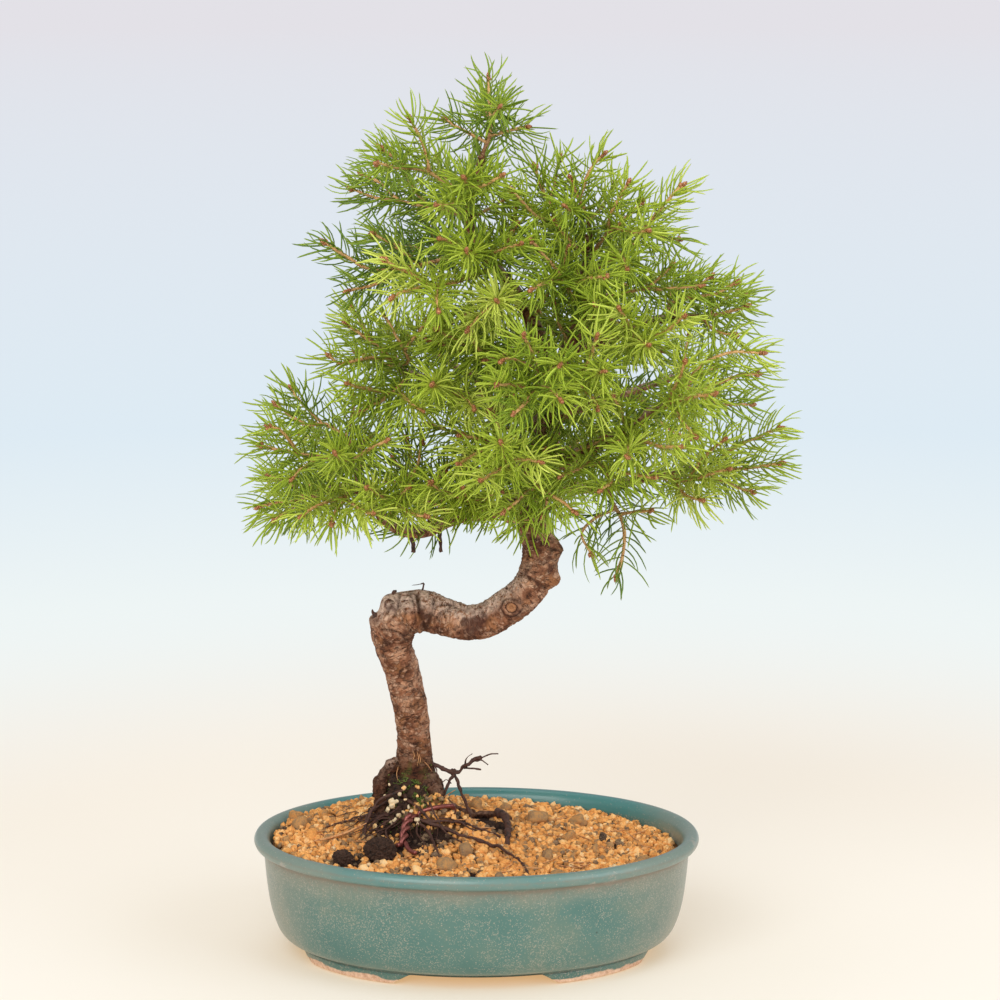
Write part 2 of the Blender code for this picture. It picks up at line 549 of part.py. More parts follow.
def combined(name, first, others, operation, solver):
    thing = make_object(name, first)
    pieces = bpy.data.collections.new(name + "_pieces")
    for mesh in others:
        pieces.objects.link(bpy.data.objects.new(name + "_piece", mesh))
    modifier = thing.modifiers.new("combine", "BOOLEAN")
    modifier.operation = operation
    modifier.operand_type = "COLLECTION"
    modifier.collection = pieces
    modifier.solver = solver
    graph = bpy.context.evaluated_depsgraph_get()
    thing.data = bpy.data.meshes.new_from_object(thing.evaluated_get(graph))
    thing.modifiers.clear()
    for piece in list(pieces.objects):
        bpy.data.objects.remove(piece)
    bpy.data.collections.remove(pieces)
    return thing


def keep_largest(thing):
    """Drops loose scraps that a cut leaves."""
    form = bmesh.new()
    form.from_mesh(thing.data)
    form.verts.ensure_lookup_table()
    left = set(form.verts)
    groups = []
    while left:
        group = set()
        edge_of_group = [left.pop()]
        while edge_of_group:
            vert = edge_of_group.pop()
            group.add(vert)
            for edge in vert.link_edges:
                other = edge.other_vert(vert)
                if other in left:
                    left.discard(other)
                    edge_of_group.append(other)
        groups.append(group)
    groups.sort(key=len)
    bmesh.ops.delete(form, geom=[vert for group in groups[:-1] for vert in group], context="VERTS")
    form.to_mesh(thing.data)
    form.free()


def add_cutter(target, name, mesh):
    """A live Boolean cut by a helper that isn't part of the object."""
    cutter = make_object(name, mesh)
    cutter.hide_render = True
    cutter.display_type = "WIRE"
    modifier = target.modifiers.new(name, "BOOLEAN")
    modifier.operation = "DIFFERENCE"
    modifier.object = cutter
    modifier.solver = "EXACT"


def box_points(low, high):
    form = bmesh.new()
    bmesh.ops.create_cube(form, size=1.0)
    points = (np.array([vert.co[:] for vert in form.verts]) + 0.5) * (np.subtract(high, low)) + low
    faces = [tuple(vert.index for vert in face.verts) for face in form.faces]
    form.free()
    return points, faces


def oval(half_length, height, sides=POT_SIDES):
    """One ring of the pot, whose short half-axis is less than its long one by a fixed amount."""
    angle = np.arange(sides) * 2 * math.pi / sides
    half_width = half_length - (POT_LENGTH - POT_WIDTH) / 2
    return np.stack([half_length * np.cos(angle), half_width * np.sin(angle), np.full(sides, height)], 1)


def add_pot():
    glaze = make_material("teal_glaze", (0.035, 0.16, 0.15), 0.22, coat=0.6)
    profile = POT_OUTSIDE + POT_INSIDE
    points = np.vstack([oval(*step) for step in profile])
    faces = ring_faces(len(profile), POT_SIDES)
    faces.append(tuple(range(POT_SIDES - 1, -1, -1)))
    faces.append(tuple(range(len(points) - POT_SIDES, len(points))))
    pot = make_object("pot", make_mesh("pot", points, faces, glaze))
    shade_round(pot, 40)
    for name, x in (("left", -DRAIN_X), ("right", DRAIN_X)):
        path = [(x, 0, FLOOR_UNDER - 3), (x, 0, FLOOR_TOP + 3)]
        add_cutter(pot, name + "_drain_cutter", tube_mesh("drain", path, DRAIN_RADIUS, 16))
    notches = {"long": (FRONT_NOTCH / 2, POT_WIDTH), "cross": (POT_LENGTH, END_NOTCH / 2)}
    for name, (x, y) in notches.items():
        points, faces = box_points((-x, -y, -3), (x, y, FLOOR_UNDER - 0.2))
        add_cutter(pot, name + "_notch_cutter", make_mesh("notch", points, faces))


def soil_height(x, y):
    """The soil's level without its grains: a slope to the right and front, and a mound at the trunk."""
    away = (x - MOUND[0]) ** 2 + (y - MOUND[1]) ** 2
    mound = MOUND_HEIGHT * math.exp(-away / (2 * MOUND_SPREAD**2))
    return SOIL_LEVEL + SOIL_SLOPE[0] * x + SOIL_SLOPE[1] * y + mound


def grain_relief(x, y):
    """Domes of coarse grit: high in the middle of each cell of a scattered pattern, low between cells."""
    distances, _ = noise.voronoi(Vector((x / GRIT_CELL, y / GRIT_CELL, 0.0)))
    return GRIT_RELIEF * (0.5 - min(distances[0], 1.0))


def soil_mesh(material):
    """The filling of the pot. Its side keeps off the pot's inner wall by a small gap."""
    side = [(a - GAP, z + GAP) for a, z in reversed(POT_INSIDE[2:])]
    rings = [oval(a, z) for a, z in side]
    rim = oval(POT_INSIDE[1][0] - GAP - 0.1, 0.0)
    rim[:, 2] = [soil_height(x, y) - 0.6 for x, y, _ in rim]
    rings.append(rim)
    draw = random.Random(11)
    inner = []
    half_length = POT_INSIDE[1][0] - GAP - 0.6 * GRIT_PITCH
    half_width = half_length - (POT_LENGTH - POT_WIDTH) / 2
    rows = int(half_width / (GRIT_PITCH * 0.87)) + 1
    columns = int(half_length / GRIT_PITCH) + 1
    for row in range(-rows, rows + 1):
        for column in range(-columns, columns + 1):
            x = (column + 0.5 * (row % 2) + draw.uniform(-0.22, 0.22)) * GRIT_PITCH
            y = (row * 0.87 + draw.uniform(-0.2, 0.2)) * GRIT_PITCH
            if (x / half_length) ** 2 + (y / half_width) ** 2 < 0.985:
                inner.append((x, y))
    border = [Vector((x, y)) for x, y, _ in rim]
    loop = [(i, (i + 1) % POT_SIDES) for i in range(POT_SIDES)]
    flat, _, faces, *_ = delaunay_2d_cdt(border + [Vector(p) for p in inner], loop, [], 1, 1e-6)
    top = [(p.x, p.y, soil_height(p.x, p.y) + grain_relief(p.x, p.y)) for p in flat[POT_SIDES:]]
    below = len(side) * POT_SIDES
    points = np.vstack([*rings, top])
    all_faces = ring_faces(len(rings), POT_SIDES) + [tuple(range(POT_SIDES - 1, -1, -1))]
    all_faces += [tuple(below + i for i in face) for face in faces]
    return make_mesh("soil", points, all_faces, material)


def net_box(x, grow=0.0):
    half = NET_SIZE / 2 + grow
    low = (x - half, -half, FLOOR_TOP + GAP - (grow and 2 * GAP))
    return box_points(low, (x + half, half, FLOOR_TOP + GAP + NET_THICK + grow))


def add_net(name, x):
    """A square of plastic net on the pot's floor, over a drain hole."""
    plastic = make_material("black_net", (0.02, 0.02, 0.022), 0.5)
    pitch = (NET_SIZE - NET_BAR) / NET_HOLES
    holes = []
    for i in range(NET_HOLES):
        for j in range(NET_HOLES):
            corner = (x - NET_SIZE / 2 + NET_BAR + i * pitch, -NET_SIZE / 2 + NET_BAR + j * pitch)
            low = (*corner, FLOOR_TOP - 2)
            high = (corner[0] + pitch - NET_BAR, corner[1] + pitch - NET_BAR, FLOOR_TOP + 4)
            holes.append(make_mesh("hole", *box_points(low, high)))
    combined(name, make_mesh(name, *net_box(x), plastic), holes, "DIFFERENCE", "EXACT")


def trunk_rows():
    return np.array([(*point, radius) for point, radius in TRUNK], float)


def trunk_swell(grow):
    """Stands the bark out round each swelling, which fades with distance as a bell curve does."""

    def swell(points, out):
        for centre, facing, height, spread in SWELLINGS:
            away = np.linalg.norm(points - np.array(centre, float), axis=2)
            amount = np.clip(out @ unit(np.array(facing, float)), 0, 1)
            points = points + out * (height * amount * np.exp(-((away / spread) ** 2)))[..., None]
        return points + out * grown(grow, TRUNK_SIDES)

    return swell


def tapered(points, thick, thin):
    path = np.array(points, float)
    steps = np.linalg.norm(np.diff(path, axis=0), axis=1)
    along = np.concatenate([[0], np.cumsum(steps)]) / steps.sum()
    return path, thick + (thin - thick) * along


def wood_meshes(groups, trunk_points, grow=0.0):
    """Every length of wood as its own tube. grow fattens them, for the hole that they leave in the soil."""
    rows = trunk_rows()[:trunk_points]
    rows[0, 2] -= grow
    meshes = [tube_mesh("trunk", rows[:, :3], rows[:, 3], TRUNK_SIDES, swell=trunk_swell(grow))]
    for group in groups:
        for name, (points, thick, thin) in group.items():
            path, radii = tapered(points, thick, thin)
            path[-1] += unit(path[-1] - path[-2]) * grow
            sides = LIMB_SIDES if thick > 2.3 else THIN_SIDES
            meshes.append(tube_mesh(name, path, radii + grown(grow, sides), sides))
    return meshes


def add_tree():
    bark = make_material("bark", (0.16, 0.09, 0.065), 0.85)
    tree = join("tree", wood_meshes((LIMBS, ROOTS, STUBS), len(TRUNK)), "MANIFOLD")
    tree.data.materials.clear()
    tree.data.materials.append(bark)
    shade_round(tree, 50)
    return tree


def wire_meshes(grow=0.0):
    """The twist is one flat bar turned along its length, which has the outline of two wires twisted."""
    radius = WIRE_RADIUS + grown(grow, WIRE_SIDES)
    path = smooth_path(WIRE_TWIST, WIRE_PIECES)
    length = np.linalg.norm(np.diff(path, axis=0), axis=1).sum()
    turn = 2 * math.pi * length / WIRE_TURN
    meshes = [tube_mesh("twist", path, 2 * radius - TWIST_SINK, TWIST_SIDES, turn=turn, flat=TWIST_FLAT)]
    for points in WIRE_ENDS + WIRE_LEGS:
        meshes.append(tube_mesh("wire", points, radius, WIRE_SIDES))
    if not grow:
        meshes.append(tube_mesh("wire", WIRE_UNDER, radius, WIRE_SIDES))
    return meshes


def clod_mesh(name, place, size, grow=0.0):
    """A lump of peat: a ball pushed in and out by smooth noise."""
    form = bmesh.new()
    bmesh.ops.create_icosphere(form, subdivisions=2, radius=1.0)
    for vert in form.verts:
        vert.co *= 1.0 + 0.22 * noise.noise(vert.co * 1.7 + Vector(place))
    points = np.array([vert.co[:] for vert in form.verts]) * (np.array(size) + grow) + place
    faces = [tuple(vert.index for vert in face.verts) for face in form.faces]
    form.free()
    return make_mesh(name, points, faces)


def add_soil():
    grit = make_material("ochre_grit", (0.42, 0.22, 0.09), 0.9)
    cutters = wood_meshes((ROOTS,), TRUNK_FOOT_POINTS, GAP) + wire_meshes(GAP)
    for name, (place, size) in CLODS.items():
        cutters.append(clod_mesh(name, place, size, grown(GAP, LIMB_SIDES)))
    cutters.append(tube_mesh("twig", DRY_TWIG, TWIG_RADIUS + grown(GAP, THIN_SIDES), THIN_SIDES))
    for x in (-DRAIN_X, DRAIN_X):
        cutters.append(make_mesh("net", *net_box(x, GAP)))
    soil = combined("soil", soil_mesh(grit), cutters, "DIFFERENCE", "MANIFOLD")
    keep_largest(soil)


def add_loose_things():
    wire = make_material("brown_wire", (0.13, 0.045, 0.03), 0.4)
    tie = join("tie_wire", wire_meshes(), "MANIFOLD")
    tie.data.materials.append(wire)
    peat = make_material("peat", (0.02, 0.014, 0.011), 0.95)
    for name, (place, size) in CLODS.items():
        clod = make_object(name, clod_mesh(name, place, size))
        clod.data.materials.append(peat)
    straw = make_material("dry_straw", (0.35, 0.14, 0.05), 0.7)
    make_object("dry_twig", tube_mesh("dry_twig", DRY_TWIG, TWIG_RADIUS, THIN_SIDES, straw))


def nearest_on(path, radii, point):
    """The closest place on a path to a point: the place, the radius there and the path's direction."""
    starts = path[:-1]
    steps = np.diff(path, axis=0)
    along = np.clip(((point - starts) * steps).sum(1) / (steps**2).sum(1), 0, 1)
    places = starts + steps * along[:, None]
    i = int(np.argmin(np.linalg.norm(places - point, axis=1)))
    return places[i], radii[i] + (radii[i + 1] - radii[i]) * along[i], unit(steps[i])


def limb_path(name):
    if name == "trunk":
        rows = trunk_rows()
        return rows[:, :3], rows[:, 3]
    points, thick, thin = LIMBS[name]
    return tapered(points, thick, thin)


def seated(path, wood):
    """Slides a twig's foot back along its own way until it stands a small gap off the wood."""
    for _ in range(SEAT_STEPS):
        foot = tube(path, CORE_RADII[0], CORE_SIDES)[0][:CORE_SIDES]
        around = [*foot, *((foot + np.roll(foot, 1, axis=0)) / 2), path[0]]
        nearest = min(wood.find_nearest(Vector(point * METRES))[3] for point in around) / METRES
        path[0] -= unit(path[1] - path[0]) * (nearest - GAP)
    return path


def spray_cores(limb, routes, wood):
    """Each twig of a spray as a path with its radii. The first keeps off the branch by a small gap."""
    cores = []
    for k, route in enumerate(routes):
        path = np.array(route, float)
        if k == 0:
            bough, thickness = limb_path(limb)
            foot, radius, along = nearest_on(bough, thickness, path[0])
            lean = unit(path[1] - foot) @ along
            if np.linalg.norm(foot - bough[-1]) < TIP_REACH and lean > 0.7:
                foot = bough[-1]
                radius = 0.0
            away = unit(path[1] - foot)
            path[0] = foot + away * (radius + CORE_RADII[0] + 2 * GAP) / max(math.sqrt(1 - lean**2), 0.5)
            path = seated(path, wood)
            radii = CORE_RADII
        else:
            choices = [nearest_on(core, thick, path[0]) for core, thick in cores]
            path[0] = min(choices, key=lambda choice: np.linalg.norm(choice[0] - path[0]))[0]
            radii = SIDE_CORE_RADII
        cores.append(tapered(path, *radii))
    return cores


def distances(start, end, starts, ends):
    """Shortest distance from one straight piece to each of many others."""
    d1 = end - start
    d2 = ends - starts
    r = start - starts
    a = d1 @ d1
    e = (d2 * d2).sum(1)
    f = (d2 * r).sum(1)
    c = r @ d1
    b = d2 @ d1
    s = np.clip((b * f - c * e) / np.maximum(a * e - b * b, 1e-9), 0, 1)
    t = np.clip((b * s + f) / e, 0, 1)
    s = np.clip((b * t - c) / a, 0, 1)
    return np.linalg.norm(start + d1 * s[:, None] - starts - d2 * t[:, None], axis=1)


class Taken:
    """Straight pieces that fill space already, so that a new needle can be bent clear of them."""

    def __init__(self):
        self.rows = []
        self.owners = []

    def add(self, owner, path, radii):
        for i in range(len(path) - 1):
            self.rows.append((*path[i], *path[i + 1], max(radii[i], radii[i + 1])))
            self.owners.append(owner)

    def is_free(self, owner, start, end, radius, spare):
        rows = np.array(self.rows)
        others = np.array([name != owner for name in self.owners])
        gap = distances(start, end, rows[:, :3], rows[:, 3:6]) - rows[:, 6] - radius
        return bool((gap[others] > spare).all())


def needle_points(base, tip, radius):
    """A straight needle with three sides, which comes to a point at its tip."""
    along = unit(tip - base)
    across = unit(np.cross(along, (0.23, 0.41, 0.88)))
    up = np.cross(along, across)
    angle = np.arange(3) * 2 * math.pi / 3
    ring = base + radius * (across * np.cos(angle)[:, None] + up * np.sin(angle)[:, None])
    return np.vstack([ring, tip]), [(0, 1, 3), (1, 2, 3), (2, 0, 3), (2, 1, 0)]


def spray_needles(name, cores, taken, draw):
    """Needles at an even pitch on each flat side of each twig in turn, and one straight out of its tip."""
    needles = []
    for number, (path, _) in enumerate(cores):
        steps = np.linalg.norm(np.diff(path, axis=0), axis=1)
        lengths = np.concatenate([[0], np.cumsum(steps)])
        tangents, across, up = carried_frames(path)
        sides = SIDE_CORE_SIDES if number else CORE_SIDES
        count = max(2, round(lengths[-1] * (1 - NEEDLE_FIRST) / NEEDLE_PITCH))
        tip = path[-1] + tangents[-1] * NEEDLE_LENGTH * 0.8
        tries = [(path[-1] - tangents[-1] * 1.5, [tip])]
        for k in range(count):
            part = NEEDLE_FIRST + (0.95 - NEEDLE_FIRST) * (k + 0.5) / count
            base = np.array([np.interp(part * lengths[-1], lengths, path[:, i]) for i in range(3)])
            i = min(int(np.searchsorted(lengths, part * lengths[-1])), len(path) - 1)
            length = NEEDLE_LENGTH * draw.uniform(0.9, 1.05)
            tips = []
            for side in range(sides):
                angle = (k + side + 0.5 + draw.uniform(-0.08, 0.08)) * 2 * math.pi / sides
                sideways = across[i] * math.cos(angle) + up[i] * math.sin(angle)
                for lean in (NEEDLE_LEAN, 0.75 * NEEDLE_LEAN):
                    way = tangents[i] * math.cos(lean) + sideways * math.sin(lean)
                    tips.append(base + way * length)
            tries.append((base, tips))
        for base, tips in tries:
            for tip in tips:
                if taken.is_free(name, base, tip, NEEDLE_RADIUS, NEEDLE_CLEAR):
                    needles.append((base, tip))
                    taken.add(name, np.array([base, tip]), (NEEDLE_RADIUS, NEEDLE_RADIUS))
                    break
    return needles


def add_sprays(tree):
    green = make_material("needles", (0.17, 0.27, 0.05), 0.5)
    draw = random.Random(5)
    taken = Taken()
    for group in (LIMBS, ROOTS, STUBS):
        for name, (points, thick, thin) in group.items():
            taken.add("tree", *tapered(points, thick, thin))
    taken.add("tree", *limb_path("trunk"))
    wood = BVHTree.FromPolygons([vert.co for vert in tree.data.vertices],
                                [face.vertices for face in tree.data.polygons])
    all_cores = {name: spray_cores(*spray, wood) for name, spray in SPRAYS.items()}
    for name, cores in all_cores.items():
        for core in cores:
            taken.add(name, *core)
    for name, cores in all_cores.items():
        meshes = [tube_mesh(name, *cores[0], CORE_SIDES, green)]
        meshes += [tube_mesh(name, *core, SIDE_CORE_SIDES) for core in cores[1:]]
        for base, tip in spray_needles(name, cores, taken, draw):
            meshes.append(make_mesh("needle", *needle_points(base, tip, NEEDLE_RADIUS)))
        join("spray_" + name, meshes, "MANIFOLD")


def centre_on_origin():
    """Moves everything so that the middle of the object's box stands over the origin."""
    bpy.context.view_layer.update()
    graph = bpy.context.evaluated_depsgraph_get()
    corners = []
    for thing in bpy.data.objects:
        if not thing.hide_render:
            shape = thing.evaluated_get(graph)
            corners += [shape.matrix_world @ Vector(corner) for corner in shape.bound_box]
    corners = np.array(corners)
    middle = (corners.min(0) + corners.max(0)) / 2
    for thing in bpy.data.objects:
        thing.location = (-middle[0], -middle[1], -corners.min(0)[2])


clear_scene()
add_pot()
add_soil()
add_net("drain_net_left", -DRAIN_X)
add_net("drain_net_right", DRAIN_X)
add_loose_things()
add_sprays(add_tree())
centre_on_origin()
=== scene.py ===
"""The looks of a spruce bonsai in an oval glazed pot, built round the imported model.

Lengths are millimetres from the middle of the pot's foot, +Z up, with the tree's front towards -Y,
as in the part's source. placed() turns them into the frame's metres as each mesh is made.
"""

import math
from itertools import combinations, product

import bpy
import numpy as np
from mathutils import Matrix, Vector


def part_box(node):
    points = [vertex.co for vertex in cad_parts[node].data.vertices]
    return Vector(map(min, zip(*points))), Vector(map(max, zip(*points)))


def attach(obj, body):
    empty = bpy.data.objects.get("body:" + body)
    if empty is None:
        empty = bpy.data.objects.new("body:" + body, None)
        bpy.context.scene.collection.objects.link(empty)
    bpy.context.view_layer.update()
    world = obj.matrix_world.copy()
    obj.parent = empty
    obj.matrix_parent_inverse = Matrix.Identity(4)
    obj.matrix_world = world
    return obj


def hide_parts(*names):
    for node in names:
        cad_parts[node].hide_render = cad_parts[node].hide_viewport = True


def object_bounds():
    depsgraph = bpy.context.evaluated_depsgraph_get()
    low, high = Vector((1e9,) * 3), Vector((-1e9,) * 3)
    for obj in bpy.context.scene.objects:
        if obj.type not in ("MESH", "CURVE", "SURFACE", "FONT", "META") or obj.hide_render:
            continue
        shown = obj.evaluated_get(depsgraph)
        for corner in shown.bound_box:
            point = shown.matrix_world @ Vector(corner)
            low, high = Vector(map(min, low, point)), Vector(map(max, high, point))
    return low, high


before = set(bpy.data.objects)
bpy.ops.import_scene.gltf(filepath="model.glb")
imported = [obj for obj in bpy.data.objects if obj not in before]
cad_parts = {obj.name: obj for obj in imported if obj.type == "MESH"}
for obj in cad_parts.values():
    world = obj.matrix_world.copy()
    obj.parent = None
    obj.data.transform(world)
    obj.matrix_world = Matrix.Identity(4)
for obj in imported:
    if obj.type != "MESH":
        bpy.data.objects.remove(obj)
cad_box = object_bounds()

METRES = 0.001
POT_LOW, POT_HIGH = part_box("pot")
MIDDLE = np.array([(POT_LOW.x + POT_HIGH.x) / 2, (POT_LOW.y + POT_HIGH.y) / 2, 0.0])
GOLDEN_TURN = math.pi * (3 - math.sqrt(5))

# Camera, from the vanishing lines of the rim and the foot: its place, its tilt and its lens.
CAMERA_PLACE = (10.0, -1300.0, 411.0)
CAMERA_TILT = math.radians(9.46)
CAMERA_LENS = 113.4
CAMERA_SENSOR = 36.0

# Light: the powers of the three lamps in watts, the world's strength, and the floor's colour.
KEY_POWER = 15.5
TOP_POWER = 8.0
FILL_POWER = 10.0
WORLD_STRENGTH = 0.5
FLOOR_COLOUR = (0.56, 0.62, 0.66)
FLOOR_GLOW = (0.41, 0.275, 0.13)

# Pot: (half length, height, rounding) up the outside and down the inside. The half width is
# less than the half length by the same amount at every height.
POT_LENGTH = 190.0
POT_WIDTH = 149.0
POT_HEIGHT = 52.0
POT_SIDES = 240
FLOOR_UNDER = 5.0
FLOOR_TOP = 10.0
DRAIN_X = 35.0
DRAIN_RADIUS = 8.0
FRONT_NOTCH = 32.0
END_NOTCH = 20.0
NOTCH_SLOPE = 0.62
NOTCH_HEIGHT = 4.8
POT_PROFILE = [
    (67.6, FLOOR_UNDER, 1.0), (68.4, 0.0, 0.5), (75.7, 0.0, 0.6), (76.3, 4.3, 0.4), (75.7, 5.0, 0.4),
    (76.6, 5.6, 0.4), (81.2, 7.2, 2.2), (84.6, 11.0, 3.2), (87.8, 20.0, 6.0), (89.6, 33.0, 7.0),
    (90.6, 44.4, 1.6), (91.4, 45.9, 0.8), (93.9, 46.7, 1.1), (95.0, 49.4, 1.6), (93.4, POT_HEIGHT, 1.5),
    (90.0, 51.8, 1.6), (88.0, 49.6, 1.4), (86.8, 44.0, 3.0), (85.4, 28.0, 6.0), (81.0, 14.0, 4.0),
    (72.0, FLOOR_TOP, 2.0),
]
# Worn or bare places of the glaze: where, how far they reach, how strong they are.
GLAZE_WEAR = [
    ((-79, -38, 47.6), 2.6, 1.2), ((46, -60, 47.5), 4.0, 1.4), ((54, -56, 48.0), 4.0, 1.5),
    ((60, -52, 47.0), 3.0, 1.0), ((92, -16, 49.0), 6.0, 0.6), ((-60, -58, 46.0), 3.0, 0.5),
    ((86, 34, 49.0), 5.0, 0.7), ((-40, 66, 48.0), 5.0, 0.8),
]

# Soil: its level at the pot's middle, how it falls to the right and front, and the mound at the trunk.
SOIL_LEVEL = 46.5
SOIL_SLOPE = (-0.035, 0.03)
MOUND = (-27.0, 16.0)
MOUND_HEIGHT = 10.0
MOUND_SPREAD = 22.0
HEAP = (-17.5, 5.0)
HEAP_HEIGHT = 10.5
HEAP_SPREAD = (11.0, 7.5)
SOIL_EDGE = 86.6
BED_SIDES = 180
BED_RINGS = 68
GRAIN_PITCH = 1.95
# Dark peaty places between the roots: where, and how far they spread.
PEAT_PATCHES = [((-36, -3), 10.0), ((-25, -13), 9.5), ((-15, -9), 5.0), ((-33, -19), 7.0), ((2, 19), 6.5),
                ((10, 12), 6.5), ((-6, 3), 3.0), ((-53, -35), 7.5), ((60, 4), 4.0), ((-2, -46), 3.5), ((22, -52), 4.0)]
# Single larger stones: where, their size, and their tone from dark to cream.
STONES = [
    ((-76, 11), 4.4, 0.3), ((-78, 22), 3.6, 0.34), ((-70, -6), 3.6, 0.5), ((25.5, 30), 5.6, 0.29),
    ((54, 9), 3.2, 0.02), ((61, 2), 2.4, 0.12), ((-4, -21.5), 5.4, 0.24), ((-12, -39.5), 4.4, 0.3),
    ((10, -55), 3.8, 0.2), ((-0.7, 39), 4.6, 0.32), ((44, 30), 4.6, 0.3), ((-62, -10), 3.6, 0.28),
    ((30, -20), 3.4, 0.26), ((70, -20), 3.2, 0.3), ((-46, -44), 2.8, 0.8), ((58, -34), 2.6, 0.88),
    ((-24, -46), 3.0, 0.75), ((12, 44), 3.4, 0.3), ((40, 8), 3.6, 0.34), ((34, -44), 3.4, 0.3),
    ((-66, 22), 3.0, 0.4), ((50, -8), 2.8, 0.36),
]

# Trunk: points with the radius there, from its foot in the soil to the tip of the right leader.
TRUNK = [
    ((-27, 18, 46), 11.5), ((-27, 18, 56), 11.0), ((-27, 18, 66), 9.6), ((-27, 18, 76), 8.2),
    ((-27, 18, 89), 7.3), ((-29, 17, 104), 7.5), ((-31.8, 16, 118), 7.6), ((-34.6, 14, 127), 7.9),
    ((-35.3, 13, 134), 8.8), ((-33.5, 12, 140), 9.1), ((-28.5, 11.5, 143.8), 9.2), ((-22.5, 11, 144.4), 9.1),
    ((-16, 10, 143.0), 8.3), ((-10, 9, 141.6), 8.0), ((-3, 8, 140.4), 7.5), ((5, 7, 142.5), 7.6),
    ((13, 6, 147.5), 7.7), ((20, 5, 153.5), 7.7), ((24.5, 5, 160), 7.6), ((26.5, 5, 168), 7.5),
    ((26, 5, 177), 7.1), ((23.5, 5, 187), 6.7), ((23, 5, 198), 6.3), ((26, 6, 210), 5.9),
    ((30, 7, 223), 5.4), ((35, 8, 240), 4.9), ((39, 8, 257), 4.2), ((43, 8, 269), 3.6),
    ((45, 7, 284), 3.0), ((47, 7, 295), 2.4), ((47, 7, 305), 1.8),
]
# Swellings of the bark: where on the trunk, the way each faces, how far it stands out, its spread.
SWELLINGS = [
    ((-37.5, 10, 150), (-0.5, -0.2, 0.85), 3.3, 4.4), ((-44.5, 11, 141), (-1.0, -0.1, 0.0), 3.0, 3.4),
    ((-44, 14, 135), (-1.0, -0.2, -0.1), 1.2, 5.0), ((-36.7, 4.5, 149.5), (-0.2, -1.0, 0.3), 1.3, 2.4),
    ((-38, 5, 142), (-0.3, -1.0, 0.0), 1.3, 3.0), ((-31, 3, 143), (0.0, -1.0, 0.1), 0.9, 2.6),
    ((-29, 10, 118), (0.6, -0.8, 0.0), 0.8, 4.0), ((-9, 2, 141), (0.1, -1.0, 0.1), 1.1, 5.0),
    ((14, 0, 147), (0.2, -1.0, 0.3), 1.6, 5.0), ((34, 4, 159.5), (1.0, -0.2, -0.1), 3.4, 3.6),
    ((34, 4, 173), (1.0, -0.2, 0.1), 2.6, 3.8), ((-36, 16, 66), (-1.0, -0.3, 0.0), 1.0, 6.0),
    ((-18, 14, 70), (0.9, -0.5, 0.0), 0.8, 8.0), ((-24, 24, 68), (0.3, 1.0, 0.0), 2.0, 8.0),
]
# Knots, each a raised ring round a hollow: the middle, the ring's radius, its height.
KNOTS = [
    ((-29.1, 8.4, 118), 3.0, 1.0), ((14.8, -2.2, 149), 3.5, 1.3), ((-37.5, 4, 149.5), 2.2, 0.9),
    ((32, 1, 171), 2.4, 1.0), ((-33, 24, 100), 2.6, 1.0), ((22, 13, 180), 2.4, 1.0), ((-26, 10, 104), 1.6, 0.5),
]
# Dark scars: the middle and how far each spreads.
SCARS = [((-2, 0, 142), 5.6), ((-30, 5, 136.5), 3.2), ((-22, 3, 146), 2.4), ((-20.5, 4, 140), 3.4), ((31, 0, 167), 3.4),
         ((-34, 4, 148), 2.0), ((-44, 8, 142), 2.4), ((14.8, -2, 149), 4.4)]
CUT_WOOD = ((14.8, -2.6, 149.2), 2.2)
# Folds pressed into the front of the trunk: across and up along each, then its depth and its half width.
GROOVES = [
    ([(-25, 153.5), (-24.6, 150.5), (-23.7, 144.5), (-22.5, 139.4), (-21.9, 135)], 1.5, 1.0),
    ([(-17.7, 151), (-19.1, 145.8), (-20.5, 140.3), (-20.8, 135)], 1.1, 0.9),
    ([(-18.2, 144.5), (-17, 148), (-15, 149.3), (-9.5, 149.2)], 0.9, 0.6),
    ([(-17.7, 143.6), (-13.7, 147), (-8.2, 148.4)], 0.7, 0.5), ([(-18, 141.5), (-15.5, 145.2), (-11, 146.6)], 0.5, 0.5),
    ([(-32.3, 153.5), (-33.2, 149), (-35, 144.5), (-37.5, 141)], 0.9, 0.7),
    ([(-28, 153), (-26.9, 150.3), (-25.8, 146), (-25.9, 140.5), (-28, 136.5)], 0.7, 0.6),
    ([(-42.8, 137.5), (-38, 138), (-33, 136.6), (-29.5, 134)], 0.8, 0.7),
    ([(-44.5, 133), (-37, 131.5), (-30.5, 132), (-25, 134)], 0.5, 0.6), ([(-30, 148), (-30.5, 143.5), (-33, 140)], 0.6, 0.6),
    ([(-41, 129), (-35, 128), (-29, 130)], 0.4, 0.5), ([(-38, 123), (-33, 122), (-27, 123.5)], 0.35, 0.4),
    ([(-37, 108), (-31, 107), (-24, 108.5)], 0.45, 0.5), ([(-36, 99), (-29, 98), (-22, 99)], 0.35, 0.4),
    ([(-34, 92.5), (-28, 93.5), (-21, 92.5)], 0.35, 0.4), ([(-34, 88), (-27, 87), (-20, 88.5)], 0.4, 0.5),
    ([(12, 157), (17, 154), (22, 148)], 0.5, 0.6), ([(19, 163), (25, 160), (31, 155)], 0.7, 0.7),
    ([(18, 172), (24, 170), (33, 166)], 0.6, 0.6), ([(17, 179), (25, 178), (33, 173)], 0.6, 0.6),
    ([(2, 148), (4, 144), (3, 137)], 0.4, 0.6), ([(17, 183), (23, 183.5), (30, 181)], 0.4, 0.5),
]
TRUNK_SIDES = 104
TRUNK_PIECES = 16

